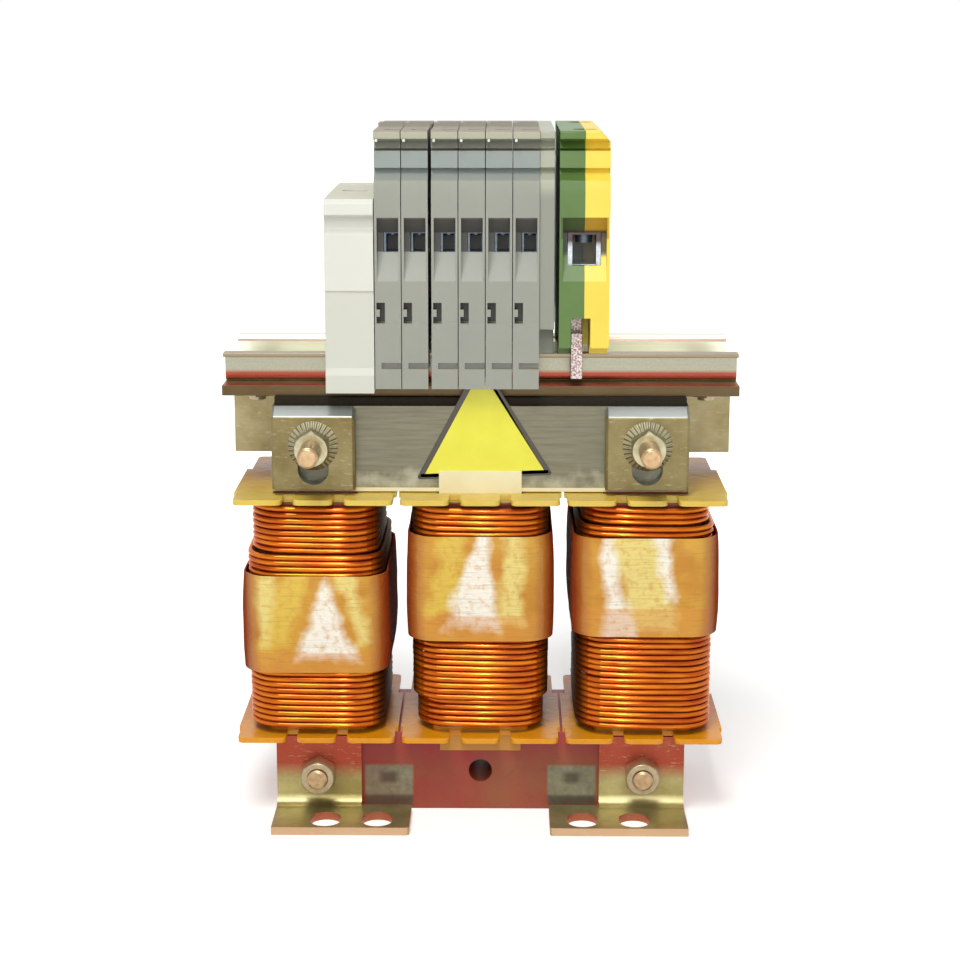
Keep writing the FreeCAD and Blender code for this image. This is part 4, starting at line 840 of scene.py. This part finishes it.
# Beige plastic: even and satin, a little greener on its lower part.
plate_plastic, tree, shader, place, _, colour = clouded(
    "moulded_beige_plastic", 10, 3.0, "#A3A595", "#B8BAA6", Roughness=0.45, IOR=1.5)
x, y, z = add(tree, "SeparateXYZ", links={"Vector": place}).outputs
lower = add(tree, "MapRange", {"From Min": 154.5 * MM, "From Max": 151.5 * MM}, {"Value": z})
feed(shader, Base_Color=add(tree, "Mix", {7: "#939688"}, {0: lower, 6: colour}))

dressed("terminal_end_plate", plate_plastic, 0.2 * MM)


# Earth terminal.
# Two coloured halves, green and yellow, are moulded to meet in the middle, with a wire cage inside.
# A steel foot reaches down from the cage and grips the rail, so that the rail carries the earth.

earth_colours = (("earth_terminal_green", "#486827", "#5D7C37", "#33480F"),
                 ("earth_terminal_yellow", "#F4D23E", "#FAE35C", "#C0900A"))
for node, dark, light, shaded in earth_colours:
    # Dyed polyamide: an even satin colour, with the wire room and the window in shadow.
    half, tree, shader, place, _, colour = clouded(
        "moulded_polyamide_" + node[15:], 9, 3.0, dark, light, Roughness=0.42, IOR=1.53)
    x, y, z = add(tree, "SeparateXYZ", links={"Vector": place}).outputs
    from_split = add(tree, "Math SUBTRACT", {1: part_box("earth_terminal_yellow")[0].x}, {0: x})
    from_split = add(tree, "Math ABSOLUTE", links={0: from_split})
    hidden = add(tree, "Math LESS_THAN", {1: 5.6 * MM}, {0: from_split})
    for depth, low_z, high_z, tint in ((26.2, 142.4, 147.4, shaded), (22.7, 130.0, 147.4, "#161B22")):
        inside = zone(tree, y, RAIL_MIDDLE / MM, depth, depth - 0.5, 0.9)
        level = between_heights(tree, z, low_z, high_z)
        level = add(tree, "Math MULTIPLY", links={0: level, 1: inside})
        level = add(tree, "Math MULTIPLY", links={0: level, 1: hidden})
        colour = add(tree, "Mix", {7: tint}, {0: level, 6: colour})
    feed(shader, Base_Color=colour)
    dressed(node, half, 0.15 * MM)

# Cage steel: bright and mottled, brown-black near its top where no light gets in.
cage_steel, tree, shader, place, _, colour = clouded(
    "plated_cage_steel", 0.7, 3.0, "#8A939C", "#D6DADB", Metallic=0.8, Roughness=0.3)
x, y, z = add(tree, "SeparateXYZ", links={"Vector": place}).outputs
shade = add(tree, "MapRange", {"From Min": 140.0 * MM, "From Max": 141.6 * MM, "To Max": 0.9}, {"Value": z})
feed(shader, Base_Color=add(tree, "Mix", {7: "#3A160E"}, {0: shade, 6: colour}))
dressed("earth_clamp", cage_steel, 0.15 * MM)

# Strap steel: speckled pinkish plating, half worn away.
strap_steel, tree, shader, place = start_material("speckled_plated_strap_steel", Metallic=0.6, Roughness=0.4)
speck = add(tree, "TexNoise", {"Scale": 1 / (0.4 * MM), "Detail": 3.0}, {"Vector": place})
sharp = add(tree, "MapRange", {"From Min": 0.4, "From Max": 0.6}, {"Value": speck})
feed(shader, Base_Color=add(tree, "Mix", {6: "#8A6A66", 7: "#D8CFCB"}, {0: sharp}))
dressed("earth_rail_strap", strap_steel, 0.2 * MM)


# End block.
# A white moulded block stops the row of terminals at the left and is screwed down on the rail.
# It is smooth polyamide, with a step and a hollow neck under its head on both faces.

# White polyamide: smooth, with painted shade on top and in its neck, and greyer below its step.
polyamide_white, tree, shader, place, _, colour = clouded(
    "moulded_white_polyamide", 12, 3.0, "#DDDED2", "#E6E7DD", Roughness=0.42, IOR=1.53)
turned = add(tree, "SeparateXYZ", links={"Vector": add(tree, "NewGeometry")})
# Painted shade on the tops.
up = add(tree, "MapRange", {"From Min": 0.8, "From Max": 0.97, "To Max": 0.8}, {"Value": turned.outputs["Z"]})
colour = add(tree, "Mix", {7: "#BDB89A"}, {0: up, 6: colour})
x, y, z = add(tree, "SeparateXYZ", links={"Vector": place}).outputs
lower = add(tree, "MapRange", {"From Min": 130.2 * MM, "From Max": 129.6 * MM}, {"Value": z})
colour = add(tree, "Mix", {7: "#D3D5C8"}, {0: lower, 6: colour})
# Painted shade in the hollow neck.
neck = zone(tree, z, 145.6, 2.3, 1.4, 0.7)
feed(shader, Base_Color=add(tree, "Mix", {7: "#BFC0B4"}, {0: neck, 6: colour}))

block = dressed("end_block", polyamide_white, 0)
block_low, block_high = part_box("end_block")
BLOCK_FRONT = block_low.y
BLOCK_BASE = block_high.z - 45.15 * MM
# Depth behind the face and height above the rail's base: in the solids, and as it is really shaped.
moves = (((0.6, 22.15), (0.55, 23.3)), ((1.2, 22.5), (0.45, 23.45)), ((0.6, 22.85), (0.1, 23.7)),
         ((0.6, 31.55), (0.1, 37.0)), ((1.2, 31.9), (1.5, 38.4)), ((0.6, 32.25), (1.5, 40.7)),
         ((0.6, 41.25), (0.3, 41.5)), ((1.3, 43.65), (0.3, 44.1)), ((2.4, 45.15), (1.3, 45.15)))
for vertex in block.data.vertices:
    rear = vertex.co.y > RAIL_MIDDLE
    depth = (block_high.y - vertex.co.y if rear else vertex.co.y - BLOCK_FRONT) / MM
    rise = (vertex.co.z - BLOCK_BASE) / MM
    for (old_depth, old_rise), (new_depth, new_rise) in moves:
        if abs(depth - old_depth) < 0.05 and abs(rise - old_rise) < 0.05:
            vertex.co.y = block_high.y - new_depth * MM if rear else BLOCK_FRONT + new_depth * MM
            vertex.co.z = BLOCK_BASE + new_rise * MM
            break
rounded(block, 0.2 * MM)


# Triangular sticker.
# A blank foil triangle is stuck on the front of the upper yoke and runs up behind the terminals.
# It is glossy yellow with a printed dark border.

STICKER_SIDE = 33.2 * MM
STICKER_EDGE = 1.3 * MM

# Printed foil: clear flat yellow inside a dark brown border, both glossy.
sticker_yellow = clouded(
    "printed_yellow_foil", 6, 3.0, "#E0DA10", "#EEEA38", Roughness=0.35, Coat_Weight=0.4)[0]
sticker_border = clouded(
    "printed_dark_border", 3, 3.0, "#1E1503", "#382A08", Roughness=0.35, Coat_Weight=0.4)[0]

yoke_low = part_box("upper_yoke")[0]
bpy.ops.mesh.primitive_circle_add(vertices=3, radius=STICKER_SIDE / math.sqrt(3), fill_type="NGON",
                                  location=(0, 0, 0), rotation=(math.pi / 2, 0, 0))
sticker = bpy.context.object
sticker.name = "triangle_sticker"
bpy.ops.object.transform_apply(location=True, rotation=True, scale=True)
bottom = min(v.co.z for v in sticker.data.vertices)
sticker.rotation_euler = (0, math.radians(-2), 0)
sticker.location = (0.7 * MM, yoke_low.y - 0.06 * MM, 84.6 * MM - bottom)
bpy.ops.object.transform_apply(location=True, rotation=True, scale=True)
bpy.ops.object.mode_set(mode="EDIT")
bpy.ops.mesh.select_all(action="SELECT")
bpy.ops.mesh.bevel(affect="VERTICES", offset=1.2 * MM, segments=6, profile=0.5)
bpy.ops.mesh.select_all(action="SELECT")
bpy.ops.mesh.normals_make_consistent(inside=False)
bpy.ops.mesh.select_mode(type="FACE")
bpy.ops.mesh.inset(thickness=STICKER_EDGE)
bpy.ops.object.mode_set(mode="OBJECT")
sticker.data.materials.append(sticker_border)
sticker.data.materials.append(sticker_yellow)
largest = max(sticker.data.polygons, key=lambda face: face.area)
largest.material_index = 1
foil = sticker.modifiers.new("foil", "SOLIDIFY")
foil.thickness = 0.1 * MM
foil.offset = 0
bpy.ops.object.modifier_apply(modifier="foil")
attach(sticker, "root")


# Floor, lights and camera.
# The object stands on a plain pale floor in soft studio light.
# The floor shows white to the camera and to glossy surfaces, and keeps the object's shadow.


def seen_plainly(tree):
    """Full for rays that come from the camera, off a glossy surface or through a clear one."""
    rays = add(tree, "LightPath").outputs
    seen = add(tree, "Math MAXIMUM", links={0: rays["Is Camera Ray"], 1: rays["Is Glossy Ray"]})
    return add(tree, "Math MAXIMUM", links={0: seen, 1: rays["Is Transmission Ray"]})


bpy.ops.mesh.primitive_plane_add(size=6, location=(0, 0, cad_box[0][2] - 0.02 * MM))
floor = bpy.context.object
floor.name = "floor"
floor_paint, tree, shader, place = start_material(
    "pale_floor", Roughness=0.9, Base_Color=linear("#F2F2F0"), Emission_Color=(1, 1, 1, 1))
away = add(tree, "VectorMath LENGTH", links={0: place})
far = add(tree, "MapRange", {"From Min": 0.10, "From Max": 0.42, "To Min": 0.40}, {"Value": away})
glow = add(tree, "Math MULTIPLY", links={0: far, 1: seen_plainly(tree)})
feed(shader, Emission_Strength=glow)
floor.data.materials.append(floor_paint)

world = bpy.data.worlds.new("studio") if bpy.context.scene.world is None else bpy.context.scene.world
bpy.context.scene.world = world
world.use_nodes = True
tree = world.node_tree
tree.nodes.clear()
white = add(tree, "Background", {"Color": (1, 1, 1, 1), "Strength": 1.0})
soft = add(tree, "Background", {"Color": (1, 0.985, 0.96, 1), "Strength": 0.20})
both = add(tree, "MixShader", links={0: seen_plainly(tree), 1: soft, 2: white})
add(tree, "OutputWorld", links={"Surface": both})

# Name, place, width and length, and power.
lamps = (
    ("key_lamp", (-0.18, -0.70, 1.15), (0.45, 0.45), 9.0),
    ("strip_lamp", (0.012, -1.0, 0.55), (0.03, 0.8), 3.4),
    ("back_lamp", (0.1, 0.7, 1.1), (0.8, 0.8), 3.0),
)
for name, location, size, power in lamps:
    bpy.ops.object.light_add(type="AREA", location=location)
    lamp = bpy.context.object
    lamp.name = name
    lamp.data.shape = "RECTANGLE"
    lamp.data.size, lamp.data.size_y = size
    lamp.data.energy = power
    aim = Vector((0, 0, 0.08)) - Vector(location)
    lamp.rotation_euler = aim.to_track_quat("-Z", "Y").to_euler()

CAMERA_PLACE = Vector((5.56, -525.55, 193.13)) * MM
CAMERA_DOWN = math.radians(12.134)
CAMERA_TURN = math.radians(0.636)
bpy.ops.object.camera_add(location=CAMERA_PLACE, rotation=(math.pi / 2 - CAMERA_DOWN, 0, CAMERA_TURN))
camera = bpy.context.object
camera.data.lens = 80.68
camera.data.sensor_width = 36.0
camera.data.clip_start = 0.01
bpy.context.scene.camera = camera
bpy.context.scene.view_settings.view_transform = "Standard"
